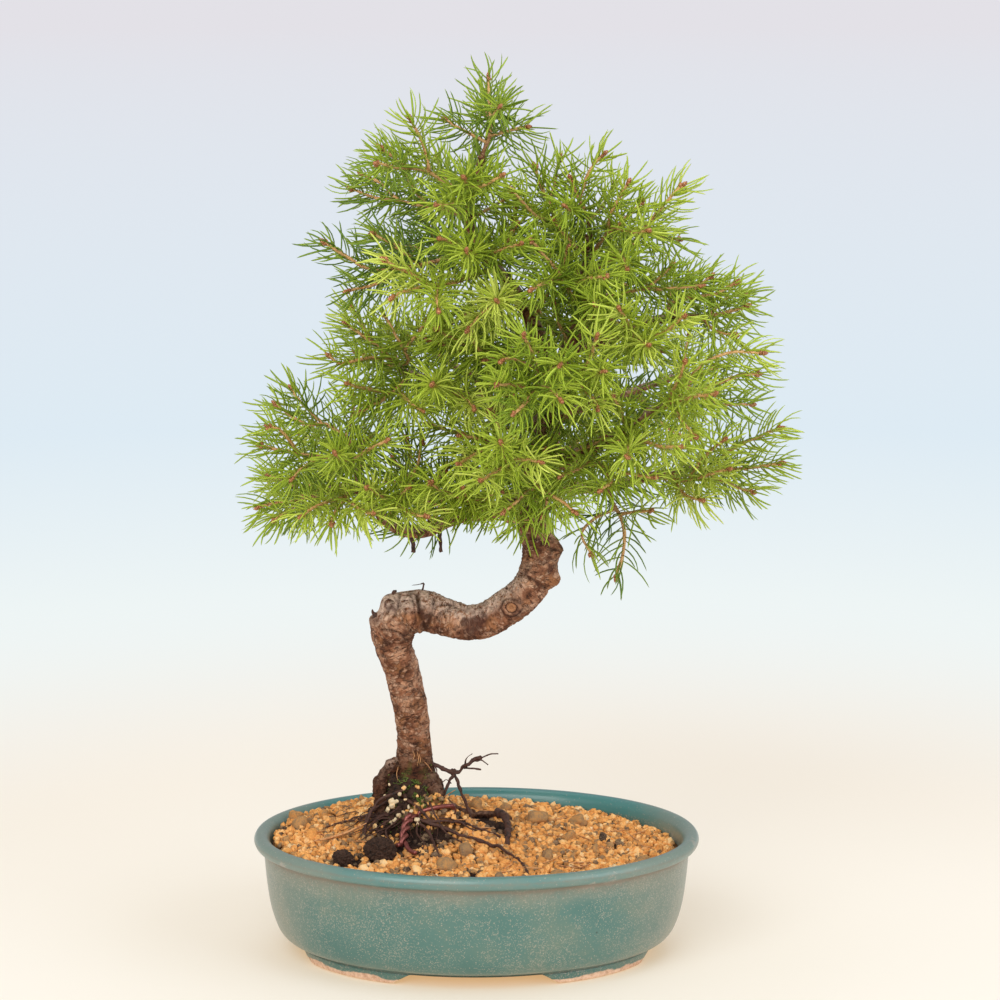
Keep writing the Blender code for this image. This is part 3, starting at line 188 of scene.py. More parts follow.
# Branches grown into the trunk: points along each, then its radius at the foot and at the tip.
LIMBS = {
    "leader": ([(34, 8, 240), (29, 4, 256), (23, 2, 269), (16, 0, 282), (7, 0, 293), (0, 0, 303),
                (-3, 0, 311), (-2, 0, 320), (1, 0, 330), (3, 0, 339)], 3.8, 1.6),
    "left_branch": ([(23, 5, 194), (7, 0, 190), (-3, -3, 189), (-11, -5, 187), (-20, -8, 183),
                     (-29, -10, 183), (-37, -10, 187), (-42, -9, 193), (-47, -8, 199), (-55, -6, 201),
                     (-62, -4, 199)], 4.2, 1.5),
    "left_riser": ([(-46, -8, 197), (-49, -5, 205), (-48, -2, 212), (-48, 2, 218)], 2.0, 1.4),
    "mid_left": ([(31, 7, 224), (13, 14, 230), (-8, 14, 238), (-21, 10, 244), (-31, 6, 248)], 3.4, 1.5),
    "right_branch": ([(26, 6, 209), (36, -2, 211), (42, -6, 214), (52, -10, 220), (61, -12, 225),
                      (72, -12, 233), (83, -10, 239)], 4.0, 1.6),
    "right_low": ([(24, 5, 200), (38, 16, 197), (57, 26, 196), (76, 30, 200), (92, 30, 203)], 3.2, 1.5),
    "right_mid": ([(39, 8, 256), (52, 14, 260), (69, 18, 266), (86, 18, 270)], 2.8, 1.5),
    "front_low": ([(24, 5, 204), (23, -12, 209), (20, -30, 213), (15, -44, 216)], 2.6, 1.5),
    "front_mid": ([(35, 8, 239), (35, -12, 242), (29, -34, 247), (24, -50, 251)], 2.6, 1.5),
    "back_low": ([(27, 6, 213), (30, 24, 216), (34, 44, 220), (36, 62, 223)], 2.6, 1.5),
    "back_left": ([(31, 7, 224), (19, 28, 232), (3, 46, 239), (-12, 58, 245)], 2.6, 1.5),
    "back_mid": ([(40, 8, 261), (46, 26, 266), (53, 44, 272), (58, 56, 276)], 2.6, 1.5),
    "back_right": ([(31, 7, 227), (48, 28, 231), (69, 46, 235), (85, 56, 239)], 2.8, 1.5),
}
ROOTS = {
    "left_root": ([(-29, 18, 77), (-34.6, 15, 76.6), (-37.8, 13, 74.4), (-40.2, 11.5, 71), (-41.4, 10.5, 67.3), (-41, 10, 63),
                   (-40.5, 9, 57), (-40.5, 5, 47)], 2.7, 2.4),
    "right_root": ([(-24, 16, 72), (-18.5, 12.5, 66), (-15.5, 9, 58), (-11, 3, 49)], 4.6, 2.6),
    "front_root": ([(-28, 14, 64), (-29, 6, 58), (-31, -3, 51), (-33, -12, 44)], 4.2, 2.4),
    "back_root": ([(-25, 22, 64), (-18, 32, 56), (-10, 40, 46)], 4.6, 2.4),
    "broken_root": ([(-14, 10, 60), (-4, 16, 54.5), (9, 28, 51), (14, 29, 49.5), (15, 24, 45)], 2.2, 1.6),
    "dead_root": ([(-20, 16, 77), (-10, 14, 74), (-5, 12, 77), (2, 10, 81)], 1.2, 0.8),
    "dead_fork": ([(-6, 12.4, 76), (2, 9, 76)], 0.8, 0.7),
    "dead_leg": ([(-10, 14, 74), (-7, 13, 66), (-3, 13, 56), (-2, 13, 50)], 0.9, 0.8),
    "long_root": ([(-25, 8, 59), (-18, 2, 55.5), (-7.8, -6.7, 51.6), (4, -9.6, 48.9), (13.4, -13.4, 47.2),
                   (18.8, -26, 45.6), (22, -40, 44.4)], 1.1, 0.8),
    "crossing_root": ([(-14, 3, 56), (-2, -2, 52), (9, 0.4, 48.9), (14, 2, 46)], 1.1, 0.9),
}
STUBS = {
    "elbow_stub": ([(-33, 10, 144), (-43, 9, 143)], 3.0, 2.2),
    "elbow_twig": ([(-24, 11, 150), (-23.5, 11, 157.5), (-27, 10.5, 161)], 0.9, 0.7),
    "branch_stub": ([(-27, -10, 181), (-26, -12, 174)], 1.3, 1.0),
    "branch_peg": ([(-15, -6, 184), (-14, -9, 174)], 1.0, 0.8),
}

# Tie wire: one length whose middle runs under the pot and whose ends are twisted at the trunk's foot.
WIRE_RADIUS = 0.98
WIRE_TWIST = [(-28, -6, 59.5), (-29.3, -10, 57.6), (-30.2, -16, 54.8), (-30.5, -22, 51.8)]
WIRE_TURN = 10.0
WIRE_ENDS = [[(-28, -26, 50.5), (-25, -29, 50)], [(-33, -24, 52)]]
WIRE_LEGS = [
    [(-29.5, -4, 58.5), (-32, 0, 54), (-34, 3, 44), (-DRAIN_X, 0, 14), (-DRAIN_X, 0, 3.2)],
    [(-26.8, -4, 59), (-25, -1.5, 58.6), (-23.4, -1, 60.4), (-16.5, -0.5, 62.2), (-11, 1.2, 62.3), (-9.8, 3.2, 60.5),
     (-9.4, 5, 56), (-6, 8, 44), (DRAIN_X, 0, 14), (DRAIN_X, 0, 3.2)],
]

# Things lying on the soil.
CLODS = {"peat_clod_1": ((-40, -29, 51.2), (6.7, 6.0, 5.9)), "peat_clod_2": ((-55, -37, 49.8), (5.0, 4.2, 3.6))}
# Peat packed at the trunk's foot: crumbs between two turns round the trunk, from one height to another.
PEAT_CRUMBS = 60
PEAT_TURNS = (-3.0, -1.05)
PEAT_HEIGHTS = (54.0, 71.0)
PEAT_LUMPS = [((5, 17, 48.5), (8, 5, 3)), ((-36.3, 13, 69), (3.0, 3.0, 5.0))]
DRY_TWIG = [(-68.5, -17, 51.8), (-62, -13.5, 52.2), (-55, -9.5, 53.3), (-47, -5, 55.8)]
# Loose fibres of bark: points along each.
FIBRES = [
    [(-25.5, 9.6, 84), (-24.8, 9, 81), (-25.4, 8.6, 77.5)], [(-24.6, 9.6, 83), (-24, 9, 80.6), (-24.4, 8.6, 78.5)],
    [(-22.4, 9.6, 79.5), (-20.5, 9.2, 77.5), (-19, 9.4, 75)], [(-33.5, 11, 77), (-34.2, 9.5, 74), (-33.6, 8.8, 71)],
    [(-27, 9.6, 84), (-26.6, 9, 82), (-27.4, 8.8, 80)],
]

# How thin the finer roots and stubs are beside the part's.
FINE_SHARE = {"dead_root": 0.9, "dead_fork": 0.6, "dead_leg": 0.76, "broken_root": 0.95}
# Knobs where the dead root forks: the middle and the half width.
KNOBS = [((-10, 13.9, 73.8), 1.5), ((-5, 12.2, 76.6), 1.05), ((1.5, 10.2, 80.6), 0.8)]
# Twiglets and the like that stand clear of the soil: points, then the first and last radius.
FINE_TWIGS = [
    ([(-9, 13.7, 74), (-13, 12, 67), (-16, 11, 59)], 0.7, 0.45), ([(2, 10, 81), (5, 9.5, 82.6), (9, 9, 83)], 0.5, 0.2),
    ([(-1, 11, 79.5), (2, 9, 80), (5, 8, 78.5)], 0.45, 0.2), ([(-5, 12, 77), (-4.5, 11, 80), (-2, 11, 82.5)], 0.35, 0.15),
    ([(-11, 13, 69), (-13, 11, 71), (-15, 9, 70.5)], 0.35, 0.15), ([(-18, 9, 78), (-17, 5, 75), (-19, 2, 71)], 0.3, 0.12),
    ([(-42.5, 9, 142.5), (-43.6, 9, 144.6), (-43.9, 9, 146)], 1.1, 0.25),
    ([(-22.9, 10.5, 150.5), (-22.5, 10.5, 155.4), (-22.5, 10.5, 156.6), (-24, 10.5, 156.8), (-27.3, 10.5, 155.7)], 0.5, 0.15),
    ([(-22.9, 9.5, 149), (-22.7, 10, 152)], 1.5, 0.5),
    ([(-35.5, 10, 150.5), (-35, 9.5, 153.4), (-34, 9.5, 154)], 1.1, 0.25),
]
# Rootlets on the mound: places, with the height of each over the soil, then the first and last radius.
ROOTLETS = [
    ([(-27, -3, 2.6), (-22, -5, 2.2), (-14, -6.5, 2.0), (-5, -8, 1.8), (4.5, -11, 1.7), (12.5, -18, 1.7), (18.5, -30, 1.5),
      (22, -44, 1.2), (23, -52, -0.6)], 0.92, 0.38),
    ([(-26, -4, 2.6), (-20, -5, 2.4), (-12, -3.5, 2.2), (-2, 1, 2.0), (9, 0.5, 1.7), (13, -1, -0.5)], 0.64, 0.3),
    ([(-31, 6.5, 7), (-30, 5, 5), (-28, 3, 3), (-25, 0, 2.2), (-21, -3.5, 2), (-14, -7, 1.6), (-8, -11, 0)], 0.68, 0.45),
    ([(-30.5, 6, 10.5), (-31.5, 4, 10.4), (-35, 3.5, 10.3), (-40.2, 3, 9.8), (-44, 1, 7.4), (-46, -2, 4.2), (-48, -7, 1)],
     0.62, 0.45),
    ([(-30, 6, 3.5), (-37.5, 3, 2.8), (-42, 1, 2.6), (-45, -3, 1.6), (-48, -8, 0)], 0.68, 0.38),
    ([(-37, 9, 6), (-44.5, 5, 4.6), (-46.5, 1, 3.6), (-47, -7, 2), (-46, -14, 0)], 0.64, 0.38),
    ([(-27, -5, 3.4), (-21, -10, 3), (-18.3, -16, 2.4), (-16, -25, 1.4), (-16, -29, -0.4)], 0.68, 0.45),
    ([(-33, -3, 3), (-38, -10, 2.6), (-37, -17, 2), (-41, -23, 1)], 0.48, 0.26),
    ([(-20, 0, 3), (-12, -10, 2.4), (-6, -15, 1.8), (-1, -24, 1.2), (0, -31, 0)], 0.44, 0.22),
    ([(-16, -4, 3), (-7, -2, 2.6), (-1, -2, 2), (5, 4, 1.6)], 0.4, 0.22),
    ([(-24, -3, 3.4), (-25, -12, 3), (-22, -20, 2.2), (-24, -29, 1)], 0.44, 0.22),
    ([(-44, 8, 3), (-52, 5, 2), (-59, 7, 1.6), (-65, 3, 1.2)], 0.4, 0.19),
    ([(9, 24, 4.2), (11.5, 17, 5), (13, 9, 4.4), (13.5, 1, 2.6), (13.5, -5, 0.4), (13.5, -7, -2)], 1.7, 1.1),
]
ROOT_HAIRS = 36
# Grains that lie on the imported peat: place, size, and tone from dark to cream.
PALE_GRAINS = [
    ((-32.8, 3.5, 66.8), 0.9, 0.93), ((-36.2, 3, 64), 1.1, 0.9), ((-34.4, 2.5, 63.8), 1.0, 0.95), ((-35.9, 2, 62), 1.1, 0.9),
    ((-37.8, 2, 60.4), 1.0, 0.86), ((-28.9, 1, 61.8), 0.7, 0.95), ((-27.6, -3.5, 61.2), 1.0, 0.95), ((-25.2, -6, 58.2), 1.1, 0.95),
    ((-24.6, -7, 56.6), 0.9, 0.92), ((-34.6, -2, 56.6), 1.0, 0.92), ((-35.4, -3, 54.8), 0.9, 0.9), ((-31.1, 4, 69.3), 0.9, 0.8),
    ((-25.8, 5, 69.8), 0.6, 0.68), ((-24.9, 5, 69.3), 0.6, 0.66), ((-37.2, 5, 70.5), 0.6, 0.86), ((-25.2, 3, 66), 0.6, 0.76),
    ((-31, 2.5, 59), 0.8, 0.82), ((-33, 1, 58), 0.9, 0.86), ((-39.2, 4, 66), 0.5, 0.9), ((-30.3, 3, 64.5), 0.5, 0.86),
]
# Moss: where it is, how far it reaches, how many blades grow on the bark, and the patch of ground with a third as many again.
MOSS_MIDDLE = (-27.5, 4.0, 66.0)
MOSS_REACH = (6.5, 12.0, 9.5)
MOSS_BLADES = 1050
MOSS_GROUND = (-27.0, 1.0)
MOSS_SPREAD = (5.0, 3.5)

# Needles: length, half width, space along a twig, the lean at a twig's foot and tip, and its rosette.
NEEDLE_LENGTH = 16.5
NEEDLE_RADIUS = 0.46
NEEDLE_PITCH = 0.53
NEEDLE_FIRST = 0.1
NEEDLE_LEANS = (math.radians(84), math.radians(50))
NEEDLE_TURNS = (0.35, 1.35)
NEEDLE_RISE = (0.0, 0.2, 0.44, 0.68, 0.9)
NEEDLE_WIDTHS = (0.62, 0.98, 1.0, 0.97, 0.76)
TWIG_RADII = (0.95, 0.62)
SIDE_TWIG_RADII = (0.78, 0.55)
# How fresh and yellow some sprays are, from 0, old and dark, to 1. The rest are in the middle.
FRESHNESS = {
    "left_bright": 0.72, "rosette_left": 0.8, "right_mid_front": 0.72, "heart_left": 0.76, "left_under": 0.68,
    "right_branch_mid": 0.72, "right_branch_front": 0.76, "front_mid_right": 0.72, "front_low_tip": 0.7,
    "mid_left_front": 0.74, "left_knee": 0.66, "right_low_front": 0.76, "leader_front": 0.56, "apex": 0.42,
    "upper_left_a": 0.5, "upper_left_b": 0.38, "left_shelf": 0.3, "hanging": 0.42, "left_inner_back": 0.25,
    "left_twig": 0.3, "right_low_tip": 0.56, "back_crown": 0.35,
}
USUAL_FRESHNESS = 0.56
# Sprays with fewer needles than usual: how much further apart they stand.
THINNER = {"hanging": 1.9, "left_twig": 1.5, "left_inner_back": 1.3}
# Shorter twigs in and before the middle of the crown, which the part leaves out: each grows from wood.
INNER_TWIGS = [
    [(26, 5, 212), (29, -12, 217), (29, -27, 220)], [(24, 5, 198), (22, -10, 201), (22, -24, 203)],
    [(24, 5, 190), (31, -9, 193), (35, -21, 197)], [(27, 6, 215), (6, -6, 221), (-10, -14, 226), (-19, -17, 229)],
    [(34, 8, 238), (16, -6, 252), (0, -16, 262)], [(39, 8, 257), (35, -6, 268), (31, -18, 279)],
    [(7, 0, 293), (12, -9, 302), (17, -18, 311)], [(7, 0, 190), (4, -14, 194), (0, -26, 199)],
    [(26, 6, 210), (41, -8, 216), (52, -20, 223)], [(16, 0, 282), (0, -13, 276), (-14, -21, 269)],
    [(26, 6, 210), (9, -8, 209), (-6, -19, 211)], [(33, 7, 232), (24, -10, 238), (17, -23, 242)],
    [(37, 8, 248), (41, -10, 248), (44, -24, 249)], [(30, 7, 223), (40, -6, 233), (49, -18, 238)],
    [(29, 4, 256), (14, -12, 258), (4, -26, 256)], [(43, 8, 269), (52, -8, 272), (60, -20, 270)],
    [(47, 7, 295), (39, -7, 303), (32, -16, 312)], [(23, 2, 269), (34, -10, 290), (38, -16, 301)],
    [(30, 7, 223), (14, 24, 230), (2, 36, 236)], [(35, 8, 240), (50, 24, 248), (62, 34, 254)],
    [(26, 6, 210), (40, 22, 214), (54, 32, 220)], [(29, 4, 256), (14, 18, 262), (2, 30, 268)],
    [(7, 0, 293), (14, -3, 305), (17, -8, 318)], [(-3, 0, 311), (6, -8, 317), (15, -14, 322)],
    [(-37, -10, 187), (-30, -12, 200), (-24, -14, 212), (-22, -16, 221)], [(-20, -8, 183), (-14, -10, 196), (-12, -13, 208)],
    [(25, 5, 185), (20, -8, 187), (13, -20, 189)], [(26, 6, 210), (33, -10, 208), (39, -22, 205)],
    [(-3, -3, 189), (-10, -14, 192), (-18, -24, 197)], [(26, 6, 212), (14, -6, 224), (5, -12, 236), (1, -14, 244)],
    [(45, 7, 284), (52, 22, 290), (58, 33, 296)], [(24, 5, 200), (10, 20, 204), (-4, 30, 208)],
    [(7, 0, 293), (2, 14, 298), (-4, 26, 304)], [(39, 8, 257), (30, 26, 266), (24, 38, 274)],
]

# Sprays: the branch each grows from, then the routes of its twigs, as in the part's source.
SPRAYS = {
    "apex": ("leader", [
        [(3, 0, 339), (6, 0, 347), (6, 1, 359), (5, 2, 370)],
        [(5, 0, 343), (-5, 6, 348), (-12, 10, 352)],
        [(6, 0, 346), (13, -8, 348), (21, -12, 350)],
        [(6, 0, 353), (9, -14, 357), (10, -26, 359)],
        [(6, 0, 349), (4, 16, 355), (3, 28, 360)],
    ]),
    "upper_left_a": ("leader", [
        [(-2, 0, 318), (-12, -8, 326), (-19, -12, 332), (-29, -16, 335), (-38, -20, 342)],
        [(-19, -12, 331), (-21, -14, 343), (-26, -18, 354)],
        [(-26, -15, 334), (-33, -30, 335), (-39, -42, 337)],
    ]),
    "upper_left_b": ("leader", [
        [(-3, 0, 312), (-13, 8, 315), (-31, 16, 318), (-39, 20, 325), (-48, 24, 329)],
        [(-30, 16, 318), (-42, 24, 319), (-52, 30, 322)],
        [(-19, 12, 316), (-27, 22, 324), (-31, 30, 334)],
        [(-10, 6, 316), (-6, 22, 318), (-13, 42, 326), (-17, 52, 334)],
        [(-7, 28, 320), (0, 42, 329), (4, 50, 337)],
    ]),
    "upper_front": ("leader", [
        [(-2, 0, 321), (-3, -20, 326), (-5, -38, 331)],
        [(-3, -18, 325), (4, -32, 328), (11, -40, 332)],
        [(-2, -10, 323), (-10, -32, 320), (-15, -46, 321)],
    ]),
    "left_shelf": ("leader", [
        [(1, 0, 301), (-19, -4, 294), (-42, -8, 292), (-53, -10, 297), (-62, -12, 303)],
        [(-31, -6, 293), (-41, -14, 286), (-52, -20, 284)],
        [(-23, -5, 294), (-32, -14, 301), (-42, -20, 307)],
        [(-15, -3, 295), (-13, 22, 296), (-31, 42, 297), (-45, 54, 301)],
        [(-24, 36, 297), (-34, 54, 289), (-42, 66, 284)],
        [(-15, 26, 297), (-20, 44, 305), (-25, 56, 311)],
    ]),
    "left_bright": ("leader", [
        [(8, -1, 292), (-5, -22, 289), (-17, -36, 288), (-27, -48, 294), (-36, -56, 300)],
        [(-14, -34, 288), (-15, -54, 285), (-14, -70, 281)],
        [(-18, -38, 289), (-27, -52, 287), (-33, -60, 285)],
    ]),
    "rosette_left": ("leader", [
        [(17, 0, 280), (12, -24, 280), (9, -46, 282), (8, -66, 285)],
        [(13, -20, 280), (4, -40, 278), (-3, -52, 272)],
    ]),
    "front_crown": ("leader", [
        [(4, -1, 297), (1, -22, 299), (-2, -44, 301), (-3, -58, 304)],
        [(1, -20, 299), (10, -36, 302), (18, -48, 306)],
        [(2, -16, 299), (-7, -34, 304), (-14, -46, 307)],
    ]),
    "inner_left": ("leader", [
        [(27, 3, 261), (10, -4, 257), (-6, -12, 259), (-19, -20, 264)],
        [(6, -6, 257), (1, -26, 261), (-2, -40, 269)],
        [(0, -10, 259), (-10, -26, 266), (-16, -38, 270)],
    ]),
    "mid_left_tip": ("mid_left", [
        [(-31, 6, 248), (-39, 2, 257), (-46, 0, 263), (-54, -2, 268)],
        [(-36, 4, 254), (-45, -8, 255), (-55, -16, 254), (-60, -20, 258)],
        [(-43, 1, 260), (-48, 10, 268), (-52, 16, 274)],
        [(-33, 5, 250), (-28, 0, 253), (-31, -6, 261), (-38, -10, 273)],
        [(-31, -3, 258), (-23, -14, 267), (-19, -22, 273)],
    ]),
    "mid_left_low": ("mid_left", [
        [(-27, 8, 246), (-32, -8, 243), (-40, -20, 238), (-47, -28, 235)],
        [(-33, -9, 242), (-27, -30, 240), (-21, -46, 238)],
        [(-36, -12, 240), (-45, -24, 245), (-52, -34, 248)],
    ]),
    "mid_left_front": ("mid_left", [
        [(-8, 13, 238), (-11, -10, 242), (-15, -36, 247), (-17, -60, 251)],
        [(-12, -16, 243), (-4, -36, 242), (0, -52, 240)],
    ]),
    "mid_left_back": ("mid_left", [
        [(-15, 12, 241), (-27, 28, 243), (-41, 42, 247), (-52, 50, 251)],
        [(-28, 29, 243), (-38, 44, 234), (-48, 54, 228)],
        [(-33, 34, 244), (-36, 48, 254), (-40, 58, 261)],
    ]),
    "left_up_tip": ("left_riser", [
        [(-48, 1, 216), (-55, 2, 221), (-63, 4, 226), (-72, 4, 226), (-83, 4, 234)],
        [(-54, 2, 221), (-52, 10, 229), (-52, 16, 236)],
        [(-64, 4, 226), (-74, 12, 234), (-78, 18, 239)],
        [(-53, 2, 219), (-55, 20, 213), (-66, 38, 214), (-77, 50, 216)],
        [(-56, 22, 213), (-61, 42, 202), (-68, 54, 195)],
        [(-52, 12, 214), (-45, 30, 217), (-38, 42, 222)],
    ]),
    "left_mid_tip": ("left_riser", [
        [(-48, -3, 211), (-58, -8, 213), (-69, -12, 215), (-81, -14, 218), (-89, -16, 220)],
        [(-65, -11, 214), (-72, -28, 211), (-75, -38, 209)],
        [(-73, -13, 216), (-79, -20, 226), (-85, -24, 229)],
        [(-54, -6, 212), (-51, -24, 214), (-55, -42, 219), (-56, -56, 223)],
        [(-52, -26, 215), (-43, -40, 222), (-35, -50, 227)],
    ]),
    "left_end": ("left_branch", [
        [(-61, -5, 199), (-68, -6, 197), (-75, -8, 195), (-82, -10, 195), (-90, -12, 193)],
        [(-71, -7, 196), (-78, 4, 201), (-88, 12, 203)],
        [(-74, -8, 196), (-78, -24, 193), (-82, -34, 192)],
        [(-65, -5, 198), (-65, 14, 198), (-78, 30, 196), (-90, 40, 196)],
        [(-67, 17, 198), (-72, 34, 187), (-77, 44, 180)],
    ]),
    "left_under": ("left_branch", [
        [(-52, -7, 201), (-54, -20, 198), (-58, -30, 194), (-59, -36, 190)],
        [(-54, -20, 198), (-46, -40, 197), (-41, -52, 197)],
        [(-54, -18, 198), (-64, -34, 198), (-71, -44, 195)],
    ]),
    "left_knee": ("left_branch", [
        [(-35, -10, 186), (-34, -22, 195), (-30, -36, 202), (-26, -46, 207)],
        [(-33, -24, 196), (-39, -38, 203), (-44, -50, 208)],
        [(-33, -28, 198), (-26, -42, 196), (-20, -52, 196)],
    ]),
    "left_twig": ("left_branch", [
        [(-19, -8, 184), (-20, -4, 190), (-23, 0, 197), (-28, 4, 203), (-35, 8, 211)],
        [(-23, 0, 195), (-16, -8, 204), (-12, -14, 211)],
        [(-27, 3, 202), (-35, 14, 200), (-43, 22, 200)],
        [(-30, 5, 205), (-27, -6, 216), (-29, -14, 223)],
    ]),
    "left_inner_front": ("left_branch", [
        [(-3, -4, 189), (-3, -20, 196), (-4, -36, 203), (-5, -50, 208)],
        [(-3, -16, 195), (4, -34, 201), (10, -46, 205)],
        [(-4, -26, 199), (-13, -38, 204), (-18, -46, 209)],
    ]),
    "left_inner_back": ("left_branch", [
        [(-11, -4, 187), (-15, 18, 189), (-21, 38, 192), (-27, 54, 195)],
        [(-16, 22, 189), (-9, 38, 195), (-4, 50, 199)],
        [(-18, 28, 190), (-28, 44, 187), (-36, 56, 186)],
    ]),
    "heart_left": ("front_low", [
        [(22, -18, 210), (12, -24, 218), (3, -30, 224), (-5, -34, 226)],
        [(12, -25, 219), (10, -36, 229), (6, -44, 238)],
        [(6, -28, 222), (-1, -44, 220), (-7, -56, 218)],
    ]),
    "front_low_tip": ("front_low", [
        [(15, -44, 216), (12, -58, 221), (11, -72, 228), (10, -84, 232)],
        [(14, -48, 217), (7, -62, 215), (2, -74, 215)],
        [(13, -54, 219), (20, -68, 222), (26, -80, 223)],
    ]),
    "front_low_drop": ("front_low", [
        [(19, -32, 213), (24, -38, 208), (29, -42, 202), (28, -44, 195)],
        [(25, -39, 207), (17, -48, 202), (12, -54, 199)],
        [(27, -41, 205), (34, -52, 203), (40, -58, 199)],
    ]),
    "front_mid_tip": ("front_mid", [
        [(24, -50, 251), (23, -62, 248), (20, -74, 245), (15, -84, 242)],
        [(24, -54, 250), (30, -70, 250), (34, -82, 247)],
        [(23, -58, 249), (15, -70, 252), (8, -80, 254)],
        [(24, -56, 250), (25, -62, 258), (22, -70, 266), (19, -78, 272)],
        [(26, -48, 255), (33, -66, 259), (34, -80, 261)],
        [(24, -56, 261), (15, -68, 262), (10, -76, 262)],
    ]),
    "front_mid_right": ("front_mid", [
        [(34, -20, 244), (41, -36, 250), (48, -52, 254), (51, -66, 257)],
        [(40, -35, 249), (46, -50, 245), (49, -60, 241)],
        [(42, -40, 251), (46, -52, 261), (48, -62, 270)],
    ]),
    "right_leader_top": ("trunk", [
        [(47, 7, 305), (46, 4, 313), (42, 0, 321), (39, -4, 328)],
        [(46, 5, 310), (53, 14, 317), (58, 20, 325)],
        [(45, 3, 315), (39, -16, 317), (36, -28, 319)],
        [(43, 1, 320), (46, 0, 330), (52, -4, 339)],
    ]),
    "leader_fork_left": ("trunk", [
        [(47, 7, 296), (37, 2, 306), (29, -2, 321), (24, -4, 334)],
        [(34, 0, 311), (25, -16, 314), (15, -28, 326)],
        [(30, -1, 318), (33, 6, 328), (35, 10, 336)],
    ]),
    "leader_fork_right": ("trunk", [
        [(46, 7, 293), (53, 2, 304), (59, -4, 310), (68, -10, 320)],
        [(54, 1, 305), (56, -4, 315), (63, -10, 328)],
        [(57, -2, 308), (65, -18, 308), (70, -30, 309)],
    ]),
    "right_shoulder": ("trunk", [
        [(45, 7, 286), (56, 6, 294), (65, 2, 302), (74, -2, 314), (85, -6, 326)],
        [(68, 1, 305), (76, 12, 304), (85, 18, 302)],
        [(59, 5, 297), (61, -16, 296), (61, -34, 295)],
    ]),
    "right_upper_shelf": ("trunk", [
        [(44, 8, 277), (58, 2, 280), (72, -4, 285), (81, -8, 293)],
        [(68, -2, 284), (81, -10, 284), (92, -14, 286)],
        [(54, 4, 279), (52, -20, 279), (48, -44, 281)],
    ]),
    "leader_front": ("trunk", [
        [(43, 8, 270), (39, -10, 282), (33, -26, 293), (22, -38, 306)],
        [(38, -13, 284), (46, -30, 290), (52, -44, 292)],
        [(34, -22, 290), (28, -40, 289), (22, -54, 288)],
    ]),
    "right_mid_tip": ("right_mid", [
        [(86, 18, 270), (95, 14, 270), (104, 10, 272), (113, 6, 275)],
        [(94, 15, 270), (100, 4, 265), (107, -4, 264)],
        [(97, 14, 270), (106, 26, 276), (114, 34, 277)],
        [(90, 16, 270), (80, 14, 274), (89, 10, 280), (98, 6, 288)],
        [(85, 11, 278), (97, 4, 280), (108, 0, 285)],
        [(78, 14, 273), (83, 28, 279), (90, 38, 285)],
    ]),
    "right_mid_front": ("right_mid", [
        [(60, 16, 262), (64, -10, 263), (67, -34, 264), (69, -54, 266)],
        [(65, -14, 263), (76, -30, 268), (84, -44, 276)],
        [(66, -24, 264), (61, -40, 274), (57, -52, 280)],
    ]),
    "right_branch_tip": ("right_branch", [
        [(83, -10, 239), (93, -10, 242), (105, -10, 247), (116, -10, 249)],
        [(87, -10, 240), (91, -12, 251), (104, -14, 258), (118, -14, 258)],
        [(90, -10, 241), (102, -2, 235), (115, 6, 234)],
    ]),
    "right_branch_front": ("right_branch", [
        [(72, -12, 233), (80, -30, 239), (89, -46, 244), (96, -56, 247)],
        [(77, -24, 237), (81, -38, 248), (84, -48, 258)],
        [(79, -28, 238), (84, -44, 233), (88, -54, 229)],
    ]),
    "right_branch_mid": ("right_branch", [
        [(61, -12, 225), (66, -28, 224), (74, -44, 224), (83, -56, 225)],
        [(64, -24, 225), (62, -46, 223), (61, -64, 222)],
        [(63, -20, 224), (59, -36, 236), (55, -48, 245)],
    ]),
    "right_branch_low": ("right_branch", [
        [(46, -8, 215), (51, -26, 213), (55, -40, 209), (50, -54, 207)],
        [(52, -28, 212), (63, -42, 212), (72, -52, 212)],
        [(49, -18, 214), (41, -38, 213), (34, -50, 212)],
    ]),
    "right_low_tip": ("right_low", [
        [(92, 30, 203), (102, 24, 203), (113, 18, 205), (128, 12, 208)],
        [(98, 27, 203), (107, 20, 212), (118, 14, 219), (128, 10, 223)],
        [(95, 29, 203), (105, 14, 200), (116, 4, 197)],
    ]),
    "right_low_front": ("right_low", [
        [(76, 30, 200), (84, 6, 202), (93, -12, 206), (104, -24, 211)],
        [(82, 10, 202), (87, -8, 198), (93, -20, 198)],
        [(89, -4, 204), (94, -16, 215), (102, -26, 224)],
    ]),
    "hanging": ("right_low", [
        [(55, 25, 196), (58, 18, 190), (62, 12, 182), (62, 8, 171), (59, 6, 160)],
        [(59, 16, 188), (50, 8, 185), (44, 2, 179), (48, 0, 171)],
        [(60, 14, 186), (68, 2, 189), (73, -8, 192)],
    ]),
    "back_low_tip": ("back_low", [
        [(36, 62, 223), (39, 76, 225), (42, 88, 227)],
        [(37, 66, 223), (47, 80, 215), (56, 90, 210)],
        [(36, 64, 223), (26, 78, 215), (17, 88, 210)],
    ]),
    "back_low_drop": ("back_low", [
        [(32, 34, 218), (36, 46, 209), (39, 56, 198), (41, 62, 189)],
        [(36, 47, 208), (47, 62, 201), (57, 72, 196)],
        [(35, 42, 212), (24, 58, 204), (14, 68, 198)],
    ]),
    "back_left_tip": ("back_left", [
        [(-12, 58, 245), (-21, 70, 249), (-31, 80, 254)],
        [(-13, 61, 246), (-16, 74, 236), (-20, 84, 227)],
        [(-16, 64, 247), (-14, 76, 256), (-13, 84, 264)],
    ]),
    "back_left_mid": ("back_left", [
        [(10, 38, 236), (6, 52, 245), (2, 64, 254), (0, 72, 263)],
        [(7, 49, 243), (13, 66, 249), (19, 78, 254)],
        [(7, 46, 241), (0, 66, 231), (-5, 80, 224)],
    ]),
    "back_mid_tip": ("back_mid", [
